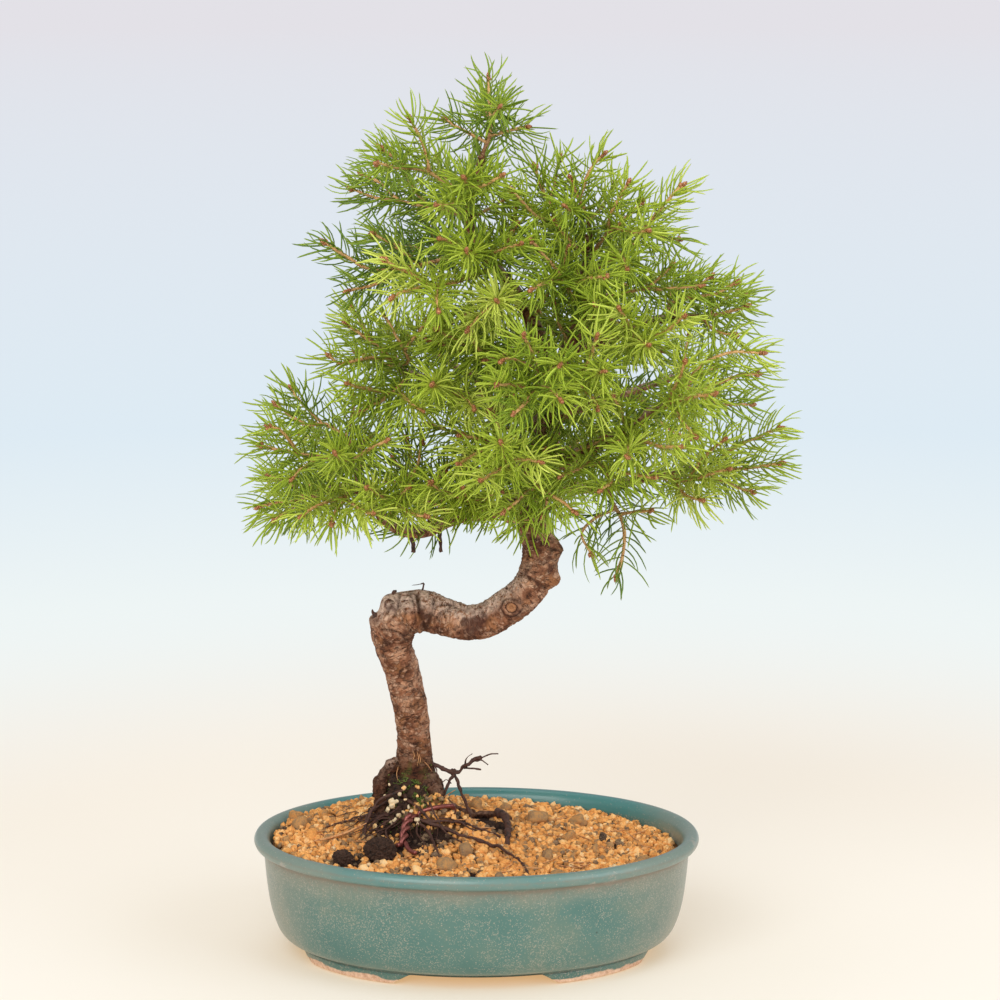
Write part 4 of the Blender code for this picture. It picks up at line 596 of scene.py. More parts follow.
        [(58, 56, 276), (61, 68, 282), (63, 76, 288)],
        [(59, 60, 278), (69, 74, 278), (78, 82, 279)],
        [(59, 58, 277), (51, 74, 273), (44, 84, 270)],
    ]),
    "back_mid_low": ("back_mid", [
        [(49, 35, 268), (60, 50, 260), (71, 62, 254), (81, 70, 249)],
        [(58, 47, 262), (55, 62, 250), (53, 74, 241)],
        [(55, 43, 264), (40, 62, 259), (30, 76, 256)],
    ]),
    "back_crown": ("trunk", [
        [(45, 8, 282), (41, 28, 289), (36, 46, 298), (31, 56, 306)],
        [(42, 24, 287), (53, 42, 295), (61, 52, 304)],
        [(38, 39, 294), (25, 54, 294), (15, 64, 294)],
    ]),
    "back_right_tip": ("back_right", [
        [(85, 56, 239), (94, 64, 239), (105, 70, 241)],
        [(86, 58, 239), (93, 72, 229), (98, 80, 221)],
        [(89, 61, 239), (91, 74, 247), (93, 82, 254)],
    ]),
    "back_right_low": ("back_right", [
        [(69, 46, 235), (75, 56, 224), (84, 64, 215), (94, 68, 210)],
        [(74, 55, 225), (70, 70, 215), (66, 80, 207)],
        [(72, 51, 230), (63, 68, 229), (54, 82, 229)],
    ]),
}


def placed(points):
    """Millimetres from the pot's foot, turned into the frame's metres."""
    return np.asarray(points, float) * METRES + MIDDLE


def unit(rows):
    """Each row of numbers divided by its own length."""
    return rows / np.linalg.norm(rows, axis=-1, keepdims=True)


def step(low, high, values):
    """Smooth step: 0 below low, 1 above high, and 3t^2 - 2t^3 between them."""
    t = np.clip((values - low) / (high - low), 0, 1)
    return t * t * (3 - 2 * t)


def bell(distance, spread):
    """A bell curve: e to the minus distance squared over spread squared."""
    return np.exp(-((distance / spread) ** 2))


def hashed(cells, seed):
    """A number from 0 to 1 for each row of three whole numbers, which multiplying and shifting mix up."""
    whole = cells.astype(np.int64).astype(np.uint32)
    mixed = whole[..., 0] * np.uint32(0x9E3779B1)
    mixed ^= whole[..., 1] * np.uint32(0x85EBCA77)
    mixed ^= whole[..., 2] * np.uint32(0xC2B2AE3D)
    mixed ^= np.uint32((seed * 0x27D4EB2F + 0x165667B1) % 2**32)
    for shift, factor in ((15, 0x2C1B3C6D), (12, 0x297A2D39), (15, 0x85EBCA6B)):
        mixed ^= mixed >> np.uint32(shift)
        mixed *= np.uint32(factor)
    return (mixed ^ (mixed >> np.uint32(16))) / 2.0**32


def noise(points, size, seed=0):
    """Value noise from -1 to 1: random numbers at the corners of a cubic grid, blended by a smooth step."""
    scaled = np.asarray(points, float) / size
    low = np.floor(scaled)
    part = scaled - low
    part = part * part * (3 - 2 * part)
    total = 0.0
    for corner in product((0, 1), repeat=3):
        corner = np.array(corner)
        weight = np.prod(np.where(corner, part, 1 - part), axis=-1)
        total = total + weight * hashed(low + corner, seed)
    return 2 * total - 1


def layered(points, size, layers, seed=0):
    """Sum of noise at sizes that halve, each layer half as strong as the one before."""
    return sum(noise(points, size / 2**i, seed + i) / 2**i for i in range(layers))


def plates(points, size, seed=0):
    """Scattered cells: how far in from the nearest border each point is, and its cell's own random number.

    One seed point stands in each cell of a cubic grid. The border is where the nearest two are as far."""
    scaled = np.asarray(points, float) / size
    low = np.floor(scaled)
    nearest = np.full(scaled.shape[:-1], 9.0)
    second = nearest.copy()
    own = np.zeros_like(nearest)
    for offset in product((-1, 0, 1), repeat=3):
        cell = low + np.array(offset)
        place = cell + np.stack([hashed(cell, seed + i) for i in range(3)], -1)
        away = np.linalg.norm(scaled - place, axis=-1)
        second = np.minimum(second, np.maximum(nearest, away))
        own = np.where(away < nearest, hashed(cell, seed + 3), own)
        nearest = np.minimum(nearest, away)
    return second - nearest, own


def smooth_path(points, pieces):
    """Catmull-Rom curve through rows of numbers, with this many pieces between each two."""
    rows = np.asarray(points, float)
    ends = np.vstack([2 * rows[0] - rows[1], rows, 2 * rows[-1] - rows[-2]])
    t = np.linspace(0, 1, pieces, endpoint=False)[:, None]
    path = []
    for a, b, c, d in zip(ends[:-3], ends[1:-2], ends[2:-1], ends[3:]):
        path.append(0.5 * (2 * b + (c - a) * t + (2 * a - 5 * b + 4 * c - d) * t**2 + (3 * b - a - 3 * c + d) * t**3))
    return np.vstack([*path, rows[-1:]])


def lengths_along(path):
    """Length of the path from its start to each of its points."""
    return np.concatenate([[0], np.cumsum(np.linalg.norm(np.diff(path, axis=0), axis=1))])


def even_path(points, spacing):
    """A smooth curve through the points, with its own points this far apart."""
    fine = smooth_path(points, 12)
    along = lengths_along(fine)
    count = max(3, int(round(along[-1] / spacing)) + 1)
    even = np.linspace(0, along[-1], count)
    return np.stack([np.interp(even, along, column) for column in fine.T], 1)


def frames_along(path):
    """The direction at each point of a path and two directions square to it and to each other.

    The first is square to the direction and to the axis that the path follows least."""
    ahead = unit(np.gradient(path, axis=0))
    axis = np.eye(3)[np.argmin(np.abs(ahead).max(0))]
    across = unit(np.cross(ahead, axis))
    return ahead, across, np.cross(ahead, across)


class Surface:
    """Points, faces of four and three corners, a paint number for each face, and values for each point."""

    def __init__(self, points, quads=(), tris=(), paint=0, **values):
        self.points = np.asarray(points, float).reshape(-1, 3)
        self.quads = np.asarray(quads, np.int64).reshape(-1, 4)
        self.tris = np.asarray(tris, np.int64).reshape(-1, 3)
        self.quad_paint = np.full(len(self.quads), paint)
        self.tri_paint = np.full(len(self.tris), paint)
        self.values = {key: np.broadcast_to(value, len(self.points)) for key, value in values.items()}


def joined(surfaces):
    """Several surfaces as one. A value that one of them lacks is 0 there."""
    whole = Surface(np.vstack([s.points for s in surfaces]))
    first = np.cumsum([0] + [len(s.points) for s in surfaces[:-1]])
    whole.quads = np.vstack([s.quads + n for s, n in zip(surfaces, first)])
    whole.tris = np.vstack([s.tris + n for s, n in zip(surfaces, first)])
    whole.quad_paint = np.concatenate([s.quad_paint for s in surfaces])
    whole.tri_paint = np.concatenate([s.tri_paint for s in surfaces])
    for key in sorted({key for s in surfaces for key in s.values}):
        whole.values[key] = np.concatenate([s.values.get(key, np.zeros(len(s.points))) for s in surfaces])
    return whole


def wrapped(rings, sides):
    """Quads between the rings of a grid whose sides go round, outwards for rings that turn anticlockwise
    as seen from the last one."""
    i = np.arange(rings - 1)[:, None] * sides
    j = np.arange(sides)[None]
    k = (j + 1) % sides
    return np.stack(np.broadcast_arrays(i + j, i + k, i + sides + k, i + sides + j), -1).reshape(-1, 4)


def skin(grid, paint=0, **values):
    """A closed surface over rings of points: quads between rings, and a fan to the middle of each end ring."""
    rings, sides = grid.shape[:2]
    low, high = rings * sides, rings * sides + 1
    j = np.arange(sides)
    k = (j + 1) % sides
    last = (rings - 1) * sides
    fans = np.vstack([np.stack([k, j, np.full(sides, low)], 1), np.stack([last + j, last + k, np.full(sides, high)], 1)])
    points = np.vstack([grid.reshape(-1, 3), grid[0].mean(0), grid[-1].mean(0)])
    filled = {}
    for key, value in values.items():
        flat = np.broadcast_to(value, (rings, sides))
        filled[key] = np.concatenate([flat.reshape(-1), [flat[0].mean(), flat[-1].mean()]])
    return Surface(points, wrapped(rings, sides), fans, paint, **filled)


def tube_grid(path, radii, sides):
    """Rings of a round tube: path + radius (across cos a + up sin a), and the outward directions there."""
    _, across, up = frames_along(path)
    angle = np.arange(sides) * 2 * math.pi / sides
    out = across[:, None] * np.cos(angle)[:, None] + up[:, None] * np.sin(angle)[:, None]
    return path[:, None] + out * np.broadcast_to(radii, len(path))[:, None, None], out


def copies(points, quads, tris, paint=0, **values):
    """Many copies of one small shape. points is (copies, corners, 3), and each value is one per copy or corner."""
    count, corners = points.shape[:2]
    first = np.arange(count)[:, None, None] * corners
    spread = {key: np.broadcast_to(value, (count, corners)).reshape(-1) for key, value in values.items()}
    all_quads = (first + np.reshape(quads, (-1, 4))[None]).reshape(-1, 4)
    all_tris = (first + np.reshape(tris, (-1, 3))[None]).reshape(-1, 3)
    return Surface(points.reshape(-1, 3), all_quads, all_tris, paint, **spread)


def make_object(name, surface, paints):
    """The mesh object of a surface, at the origin, in metres."""
    mesh = bpy.data.meshes.new(name)
    mesh.vertices.add(len(surface.points))
    mesh.vertices.foreach_set("co", placed(surface.points).ravel())
    corners = np.concatenate([surface.quads.ravel(), surface.tris.ravel()])
    mesh.loops.add(len(corners))
    mesh.loops.foreach_set("vertex_index", corners)
    quads, tris = len(surface.quads), len(surface.tris)
    mesh.polygons.add(quads + tris)
    mesh.polygons.foreach_set("loop_start", np.concatenate([np.arange(quads) * 4, quads * 4 + np.arange(tris) * 3]))
    mesh.polygons.foreach_set("material_index", np.concatenate([surface.quad_paint, surface.tri_paint]))
    mesh.update(calc_edges=True)
    for key, value in surface.values.items():
        layer = mesh.attributes.new(key, "FLOAT", "POINT")
        layer.data.foreach_set("value", np.ascontiguousarray(value, np.float32))
    mesh.shade_smooth()
    for paint in paints:
        mesh.materials.append(paint)
    made = bpy.data.objects.new(name, mesh)
    bpy.context.scene.collection.objects.link(made)
    return made


def make_piece(name, surface, paints, replaces=()):
    """A surface as a piece that rides on the only body and stands for the named nodes."""
    piece = make_object(name, surface, paints)
    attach(piece, "root")
    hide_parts(*replaces)
    return piece


class Paint:
    """A material being made. add() places a node, and each input takes a value or another node's output."""

    def __init__(self, name, **settings):
        self.material = bpy.data.materials.new(name)
        self.material.use_nodes = True
        self.tree = self.material.node_tree
        self.shader = self.tree.nodes["Principled BSDF"]
        self.feed(self.shader, {key.replace("_", " "): value for key, value in settings.items()})

    def feed(self, node, inputs):
        for key, value in inputs.items():
            if isinstance(value, bpy.types.NodeSocket):
                self.tree.links.new(value, node.inputs[key])
            else:
                node.inputs[key].default_value = value

    def add(self, kind, inputs=None, **settings):
        node = self.tree.nodes.new("ShaderNode" + kind)
        for key, value in settings.items():
            setattr(node, key, value)
        self.feed(node, inputs or {})
        return node.outputs[0]

    def places(self):
        return self.tree.nodes.new("ShaderNodeTexCoord").outputs["Object"]

    def value(self, name):
        return self.add("Attribute", attribute_name=name).node.outputs["Fac"]

    def noise(self, scale, detail=3.0, rough=0.6, vector=None):
        inputs = {"Scale": scale, "Detail": detail, "Roughness": rough, "Vector": vector or self.places()}
        return self.add("TexNoise", inputs)

    def maths(self, operation, a, b=0.0, c=0.0):
        return self.add("Math", {0: a, 1: b, 2: c}, operation=operation)

    def between(self, value, low, high):
        """0 at low, 1 at high, smooth between them."""
        inputs = {"Value": value, "From Min": low, "From Max": high}
        return self.add("MapRange", inputs, interpolation_type="SMOOTHSTEP")

    def ramp(self, value, *stops):
        node = self.add("ValToRGB", {"Fac": value}).node
        elements = node.color_ramp.elements
        while len(elements) < len(stops):
            elements.new(0.5)
        for element, (place, colour) in zip(elements, stops):
            element.position = place
            element.color = (*colour, 1.0)
        return node.outputs[0]

    def mix(self, share, a, b, blend="MIX"):
        node = self.tree.nodes.new("ShaderNodeMix")
        node.data_type = "RGBA"
        node.blend_type = blend
        for key, value in ((0, share), (6, a), (7, b)):
            value = (*value, 1.0) if isinstance(value, tuple) else value
            self.feed(node, {key: value})
        return node.outputs[2]

    def group(self, tree, output, **inputs):
        node = self.tree.nodes.new("ShaderNodeGroup")
        node.node_tree = tree
        self.feed(node, {key.replace("_", " "): value for key, value in inputs.items()})
        return node.outputs[output]

    def finish(self, colour=None, roughness=None, height=None, strength=1.0, distance=0.0003):
        """Feeds the shader. height is in the units of distance, for a bump."""
        if colour is not None:
            self.feed(self.shader, {"Base Color": colour})
        if roughness is not None:
            self.feed(self.shader, {"Roughness": roughness})
        if height is not None:
            bump = self.add("Bump", {"Height": height, "Strength": strength, "Distance": distance})
            self.feed(self.shader, {"Normal": bump})
        return self.material


def group_tree(name, inputs, outputs):
    """An empty shader group with named number inputs and outputs, and its two end nodes."""
    tree = bpy.data.node_groups.new(name, "ShaderNodeTree")
    for key, value in inputs.items():
        socket = tree.interface.new_socket(key, in_out="INPUT", socket_type="NodeSocketFloat")
        socket.default_value = value
    for key in outputs:
        tree.interface.new_socket(key, in_out="OUTPUT", socket_type="NodeSocketFloat")
    return tree, tree.nodes.new("NodeGroupInput"), tree.nodes.new("NodeGroupOutput")


def group_node(tree, kind, inputs, **settings):
    node = tree.nodes.new("ShaderNode" + kind)
    for key, value in settings.items():
        setattr(node, key, value)
    for key, value in inputs.items():
        if isinstance(value, bpy.types.NodeSocket):
            tree.links.new(value, node.inputs[key])
        else:
            node.inputs[key].default_value = value
    return node


def make_speckle_group():
    """Scattered round specks: the share of cells that hold one, and how wide it is in its cell."""
    tree, start, end = group_tree("speckles", {"Scale": 600.0, "Share": 0.4, "Width": 0.3}, ["Mask"])
    places = group_node(tree, "TexCoord", {}).outputs["Object"]
    cell = group_node(tree, "TexVoronoi", {"Vector": places, "Scale": start.outputs["Scale"]})
    split = group_node(tree, "SeparateColor", {0: cell.outputs["Color"]})
    kept = group_node(tree, "Math", {0: split.outputs[0], 1: start.outputs["Share"]}, operation="LESS_THAN")
    size = group_node(tree, "Math", {0: split.outputs[1], 1: start.outputs["Width"]}, operation="MULTIPLY")
    inside = group_node(tree, "MapRange", {"Value": cell.outputs["Distance"], "From Min": size.outputs[0],
                                           "From Max": 0.0}, interpolation_type="SMOOTHSTEP")
    both = group_node(tree, "Math", {0: inside.outputs[0], 1: kept.outputs[0]}, operation="MULTIPLY")
    tree.links.new(both.outputs[0], end.inputs["Mask"])
    return tree


def make_grain_group():
    """Rough natural grain: coarse and fine noise added together, as a height and as a shade."""
    tree, start, end = group_tree("natural_grain", {"Scale": 400.0, "Fine": 0.5}, ["Height", "Shade"])
    places = group_node(tree, "TexCoord", {}).outputs["Object"]
    coarse = group_node(tree, "TexNoise", {"Vector": places, "Scale": start.outputs["Scale"], "Detail": 4.0})
    finer = group_node(tree, "Math", {0: start.outputs["Scale"], 1: 4.3}, operation="MULTIPLY")
    fine = group_node(tree, "TexNoise", {"Vector": places, "Scale": finer.outputs[0], "Detail": 3.0})
    share = group_node(tree, "Math", {0: fine.outputs[0], 1: start.outputs["Fine"]}, operation="MULTIPLY")
    height = group_node(tree, "Math", {0: coarse.outputs[0], 1: share.outputs[0]}, operation="ADD")
    shade = group_node(tree, "MapRange", {"Value": height.outputs[0], "From Min": 0.45, "From Max": 1.0})
    tree.links.new(height.outputs[0], end.inputs["Height"])
    tree.links.new(shade.outputs[0], end.inputs["Shade"])
    return tree


def glaze_paint(speckles, grain):
    """Teal glaze with fine sandy specks, brown where it is thin, worn in places and bare clay at the foot."""
    paint = Paint("teal_glaze", Coat_Roughness=0.14)
    height = paint.add("SeparateXYZ", {0: paint.places()}).node.outputs["Z"]
    cloud = paint.noise(38.0, 4.0)
    colour = paint.ramp(cloud, (0.3, (0.06, 0.158, 0.138)), (0.5, (0.08, 0.178, 0.152)), (0.72, (0.118, 0.19, 0.145)))
    lip = paint.between(height, 0.0455, 0.0475)
    colour = paint.mix(paint.maths("MULTIPLY", lip, 0.85), colour, (0.058, 0.215, 0.212))
    ragged = paint.maths("MULTIPLY_ADD", paint.noise(520.0, 4.0), 0.9, -0.45)
    sandy = paint.value("sandy")
    film = paint.between(paint.maths("ADD", sandy, paint.maths("MULTIPLY_ADD", cloud, 1.2, -0.6)), 0.1, 1.1)
    colour = paint.mix(paint.maths("MULTIPLY", film, 0.5), colour, (0.3, 0.26, 0.19))
    worn = paint.between(paint.maths("ADD", paint.value("worn"), paint.maths("MULTIPLY", ragged, 1.6)), 0.35, 0.75)
    colour = paint.mix(paint.maths("MULTIPLY", worn, 0.5), colour, (0.4, 0.34, 0.29))
    patchy = paint.between(paint.noise(55.0, 3.0), 0.28, 0.66)
    share = paint.maths("ADD", paint.maths("MULTIPLY_ADD", patchy, 0.5, 0.08), paint.maths("MULTIPLY", film, 0.3))
    share = paint.maths("ADD", paint.maths("MULTIPLY", share, paint.maths("MULTIPLY_ADD", lip, -0.9, 1.0)), worn)
    for scale, width, power, tone in ((1500.0, 0.8, 0.8, (0.42, 0.36, 0.28)), (2300.0, 0.95, 0.8, (0.4, 0.35, 0.28)),
                                      (640.0, 0.26, 0.7, (0.55, 0.47, 0.37))):
        specks = paint.group(speckles, "Mask", Scale=scale, Share=share, Width=width)
        colour = paint.mix(paint.maths("MULTIPLY", specks, power), colour, tone)
    pits = paint.group(speckles, "Mask", Scale=260.0, Share=0.05, Width=0.22)
    colour = paint.mix(paint.maths("MULTIPLY", pits, 0.8), colour, (0.02, 0.035, 0.03))
    thin = paint.between(paint.maths("ADD", paint.value("thin"), ragged), 0.05, 1.05)
    colour = paint.mix(paint.maths("MULTIPLY", thin, 0.75), colour, (0.22, 0.165, 0.115))
    bare = paint.between(paint.maths("ADD", paint.value("bare"), paint.maths("MULTIPLY", ragged, 0.5)), 0.35, 0.6)
    shade = paint.group(grain, "Shade", Scale=500.0, Fine=0.6)
    clay = paint.ramp(shade, (0.2, (0.55, 0.3, 0.19)), (0.9, (0.82, 0.56, 0.4)))
    colour = paint.mix(bare, colour, clay)
    rough = paint.maths("MULTIPLY_ADD", bare, 0.4, paint.maths("MULTIPLY_ADD", thin, 0.2, 0.36))
    paint.feed(paint.shader, {"Coat Weight": paint.maths("MULTIPLY_ADD", bare, -0.22, 0.22)})
    bumps = paint.group(grain, "Height", Scale=160.0, Fine=0.3)
    return paint.finish(colour, rough, bumps, 0.4, 0.0005)


def bark_paint(grain):
    """Bark: brown with pale flakes and dark cracks that run round the wood, orange where it is young. Bark that faces
    up is mixed paler as painted light, and the dark crack marks also hold painted shade in the pressed folds and round
    the knots.
    """
    paint = Paint("spruce_bark", Specular_IOR_Level=0.22)
    unrolled = paint.add("CombineXYZ", {i: paint.value("unrolled_" + axis) for i, axis in enumerate("xyz")})
    stretched = paint.add("VectorMath", {0: unrolled, 1: (0.3, 0.3, 1.0)}, operation="MULTIPLY")
    fibre = paint.noise(1.1, 5.0, 0.65, stretched)
    cloud = paint.noise(0.13, 3.0, 0.55, unrolled)
    mottle = paint.noise(0.5, 6.0, 0.72, unrolled)
    swirl = paint.add("TexNoise", {"Vector": unrolled, "Scale": 0.5, "Detail": 3.0}).node.outputs["Color"]
    bent = paint.add("VectorMath", {0: swirl, 1: (2.6, 2.6, 2.6), 2: unrolled}, operation="MULTIPLY_ADD")
    cell = {"Vector": paint.add("VectorMath", {0: bent, 1: (0.7, 0.7, 1.2)}, operation="MULTIPLY"), "Scale": 0.52}
    own = paint.add("SeparateColor", {0: paint.add("TexVoronoi", cell).node.outputs["Color"]})
    edge = paint.add("TexVoronoi", cell, feature="DISTANCE_TO_EDGE")
    shade = paint.maths("MULTIPLY_ADD", cloud, 0.8, paint.maths("MULTIPLY_ADD", mottle, 0.55, paint.maths("MULTIPLY", fibre, 0.3)))
    shade = paint.maths("MULTIPLY_ADD", own, 0.14, shade)
    old = paint.ramp(shade, (0.64, (0.06, 0.02, 0.011)), (0.77, (0.18, 0.066, 0.031)), (0.88, (0.34, 0.14, 0.071)),
                     (0.98, (0.54, 0.28, 0.165)))
    young = paint.ramp(shade, (0.6, (0.08, 0.03, 0.014)), (0.8, (0.22, 0.088, 0.034)), (0.96, (0.4, 0.185, 0.085)))
    colour = paint.mix(paint.value("young"), old, young)
    warm = paint.between(paint.noise(0.16, 2.0, 0.5, unrolled), 0.5, 0.66)
    colour = paint.mix(paint.maths("MULTIPLY", warm, 0.4), colour, (0.45, 0.19, 0.07))
    flake = paint.maths("MULTIPLY", paint.between(own, 0.56, 0.72), paint.between(edge, 0.04, 0.14))
    flake = paint.maths("MULTIPLY", flake, paint.between(mottle, 0.42, 0.56))
    colour = paint.mix(paint.maths("MULTIPLY", flake, 0.6), colour, (0.7, 0.43, 0.29))
    # Painted light: bark that faces up (the top value) is mixed towards a pale pink-tan, standing in for light on top
    # of the wood.
    pale = paint.maths("MULTIPLY", paint.value("top"), paint.between(mottle, 0.38, 0.54))
    colour = paint.mix(paint.maths("MULTIPLY", pale, 0.85), colour, (0.86, 0.62, 0.49))
    fold = paint.maths("ABSOLUTE", paint.maths("SUBTRACT", paint.noise(0.5, 3.0, 0.6, stretched), 0.5))
    line = paint.maths("MULTIPLY", paint.between(fold, 0.05, 0.012), paint.between(paint.noise(0.3, 2.0, 0.5, unrolled), 0.44, 0.56))
    rim = paint.maths("MULTIPLY", paint.between(edge, 0.09, 0.01), paint.between(own, 0.4, 0.6))
    cracks = paint.maths("MAXIMUM", paint.maths("MULTIPLY", line, 0.8), paint.maths("MULTIPLY", rim, 0.5))
    # The dark cracks are weakened under the painted light on top.
    colour = paint.mix(paint.maths("MULTIPLY", cracks, paint.maths("MULTIPLY_ADD", pale, -0.6, 1.0)), colour, (0.045, 0.017, 0.01))
    # The crack value darkens the bark's cracks and wrinkle lines, and is painted shade in the pressed folds and round
    # the knots.
    colour = paint.mix(paint.maths("MULTIPLY", paint.value("crack"), 0.85), colour, (0.045, 0.018, 0.011))
    colour = paint.mix(paint.maths("MULTIPLY", paint.value("scar"), 0.8), colour, (0.075, 0.026, 0.017))
    wood = paint.ramp(paint.value("cut"), (0.0, (0.05, 0.02, 0.012)), (0.14, (0.08, 0.03, 0.018)), (0.3, (0.4, 0.18, 0.085)),
                      (0.6, (0.52, 0.25, 0.12)), (0.8, (0.42, 0.18, 0.08)))
    colour = paint.mix(paint.between(paint.value("cut"), 0.0, 0.06), colour, wood)
    colour = paint.mix(paint.value("damp"), colour, (0.24, 0.18, 0.15), "MULTIPLY")
    green = paint.ramp(paint.noise(900.0, 2.0), (0.3, (0.03, 0.055, 0.01)), (0.7, (0.14, 0.22, 0.03)))
    colour = paint.mix(paint.value("moss"), colour, green)
    bumps = paint.maths("MULTIPLY_ADD", fibre, 0.5, paint.maths("MULTIPLY", mottle, 0.9))
    bumps = paint.maths("MULTIPLY_ADD", cracks, -0.5, paint.maths("MULTIPLY_ADD", flake, 0.25, bumps))
    return paint.finish(colour, 0.78, bumps, 0.9, 0.0009)


def needle_paint():
    """Needles from old dark green to fresh yellow green, each a little different, paler at the foot and tip."""
    paint = Paint("needle_green", Roughness=0.38, Specular_IOR_Level=0.28)
    tint = paint.maths("MULTIPLY_ADD", paint.value("tint"), 0.34, -0.17)
    fresh = paint.maths("ADD", paint.value("fresh"), tint)
    colour = paint.ramp(fresh, (0.0, (0.05, 0.11, 0.018)), (0.25, (0.152, 0.25, 0.026)), (0.5, (0.3, 0.405, 0.03)),
                        (0.75, (0.45, 0.56, 0.052)), (1.0, (0.64, 0.71, 0.125)))
    along = paint.value("along")
    colour = paint.mix(paint.maths("MULTIPLY", paint.between(along, 0.2, 0.0), 0.5), colour, (0.46, 0.5, 0.12))
    colour = paint.mix(paint.maths("MULTIPLY", paint.between(along, 0.9, 1.0), 0.35), colour, (0.66, 0.58, 0.2))
    return paint.finish(colour)


def twig_paint(grain):
    """Orange-brown twig bark, darker where it is older."""
    paint = Paint("twig_bark", Roughness=0.62)
    shade = paint.group(grain, "Shade", Scale=700.0, Fine=0.8)
    new = paint.ramp(shade, (0.1, (0.28, 0.1, 0.03)), (0.5, (0.55, 0.24, 0.08)), (0.9, (0.75, 0.44, 0.18)))
    old = paint.ramp(shade, (0.1, (0.06, 0.024, 0.012)), (0.5, (0.2, 0.078, 0.034)), (0.9, (0.38, 0.18, 0.085)))
    colour = paint.mix(paint.between(paint.value("along"), 0.5, 0.0), new, old)
    return paint.finish(colour, None, paint.group(grain, "Height", Scale=900.0, Fine=0.8), 0.7, 0.0004)


def bud_paint():
    """Reddish-brown bud scales in rows, paler at their edges."""
    paint = Paint("bud_scales", Roughness=0.5)
    rows = paint.maths("SINE", paint.maths("MULTIPLY", paint.value("along"), 26.0))
    mixed = paint.maths("ADD", paint.maths("MULTIPLY", rows, 0.22), paint.noise(900.0, 2.0))
    colour = paint.ramp(mixed, (0.3, (0.18, 0.05, 0.02)), (0.55, (0.46, 0.16, 0.055)), (0.85, (0.7, 0.36, 0.16)))
    return paint.finish(colour)


def grit_paint(speckles, grain):
    """Baked clay and stone grains, whose tone runs from black-brown through ochre to cream."""
    paint = Paint("ochre_grit", Roughness=0.9, Specular_IOR_Level=0.3)
    shade = paint.maths("MULTIPLY_ADD", paint.group(grain, "Shade", Scale=420.0, Fine=0.8), 0.3, -0.15)
    tone = paint.maths("ADD", paint.value("tone"), shade)
    colour = paint.ramp(tone, (0.0, (0.015, 0.009, 0.007)), (0.1, (0.07, 0.04, 0.025)), (0.24, (0.24, 0.155, 0.09)),
                        (0.4, (0.4, 0.22, 0.09)), (0.56, (0.7, 0.29, 0.072)), (0.72, (0.88, 0.42, 0.125)),
                        (0.86, (0.94, 0.58, 0.25)), (1.0, (0.78, 0.62, 0.4)))
    dust = paint.group(speckles, "Mask", Scale=2600.0, Share=0.3, Width=0.7)
    colour = paint.mix(paint.maths("MULTIPLY", dust, 0.25), colour, (0.86, 0.55, 0.26))
    return paint.finish(colour, None, paint.group(grain, "Height", Scale=700.0, Fine=0.8), 0.6, 0.0004)


def plain_paint(name, grain, dark, light, scale, roughness, strength=0.7, metallic=0.0):
    """A rough natural finish between two colours, by the grain group's shade."""
    paint = Paint(name, Roughness=roughness, Metallic=metallic)
    shade = paint.group(grain, "Shade", Scale=scale, Fine=0.7)
    colour = paint.ramp(shade, (0.3, dark), (0.7, light))
    return paint.finish(colour, None, paint.group(grain, "Height", Scale=scale * 1.6, Fine=0.7), strength, 0.0004)


def bed_paint(grain):
    """The fine stuff between the grains: brown dust, painted dark as the shade in the gaps between them, or nearly
    black and crumbly where it is peaty.
    """
    paint = Paint("fine_bed", Roughness=0.95, Specular_IOR_Level=0.2)
    shade = paint.group(grain, "Shade", Scale=520.0, Fine=0.8)
    # Painted shade: the dust between the grains is made far darker than the grains, for the gaps in their shade.
    dust_and_gap_shade = paint.ramp(shade, (0.15, (0.03, 0.015, 0.008)), (0.85, (0.24, 0.11, 0.04)))
    peaty = paint.ramp(shade, (0.3, (0.006, 0.004, 0.003)), (0.95, (0.045, 0.021, 0.014)))
    colour = paint.mix(paint.value("peaty"), dust_and_gap_shade, peaty)
    return paint.finish(colour, None, paint.group(grain, "Height", Scale=800.0, Fine=0.8), 0.9, 0.001)


def rounded(profile, pieces=6, longest=3.2):
    """An outline whose corners are quadratic curves, each starting and ending its own rounding away."""
    rows = np.asarray(profile, float)
    places, rounding = rows[:, :2], rows[:, 2]
    t = np.linspace(0, 1, pieces + 1)[:, None]
    outline = [places[:1]]
    for before, corner, after, size in zip(places[:-2], places[1:-1], places[2:], rounding[1:-1]):
        back, forth = before - corner, after - corner
        start = corner + back * min(size / np.linalg.norm(back), 0.48)
        end = corner + forth * min(size / np.linalg.norm(forth), 0.48)
        outline.append((1 - t) ** 2 * start + 2 * t * (1 - t) * corner + t**2 * end)
    outline = np.vstack([*outline, places[-1:]])
    even = [outline[:1]]
    for start, end in zip(outline[:-1], outline[1:]):
        count = max(1, int(np.ceil(np.linalg.norm(end - start) / longest)))
        even.append(start + (end - start) * (np.arange(1, count + 1) / count)[:, None])
    return np.vstack(even)


def oval_grid(outline, sides):
    """Rings of the pot: (r cos a, (r - inset) sin a, z), where inset is half of length less width."""
    angle = np.arange(sides) * 2 * math.pi / sides
    r, z = outline[:, :1], outline[:, 1:]
    inset = (POT_LENGTH - POT_WIDTH) / 2
    return np.stack(np.broadcast_arrays(r * np.cos(angle), (r - inset) * np.sin(angle), z), -1)


def cut(piece, cutter):
    """Takes the cutter's shape out of the piece, and removes the cutter."""
    modifier = piece.modifiers.new("cut", "BOOLEAN")
    modifier.operation = "DIFFERENCE"
    modifier.solver = "EXACT"
    modifier.object = cutter
    graph = bpy.context.evaluated_depsgraph_get()
    whole = bpy.data.meshes.new_from_object(piece.evaluated_get(graph))
    piece.modifiers.clear()
    piece.data = whole
    bpy.data.objects.remove(cutter)


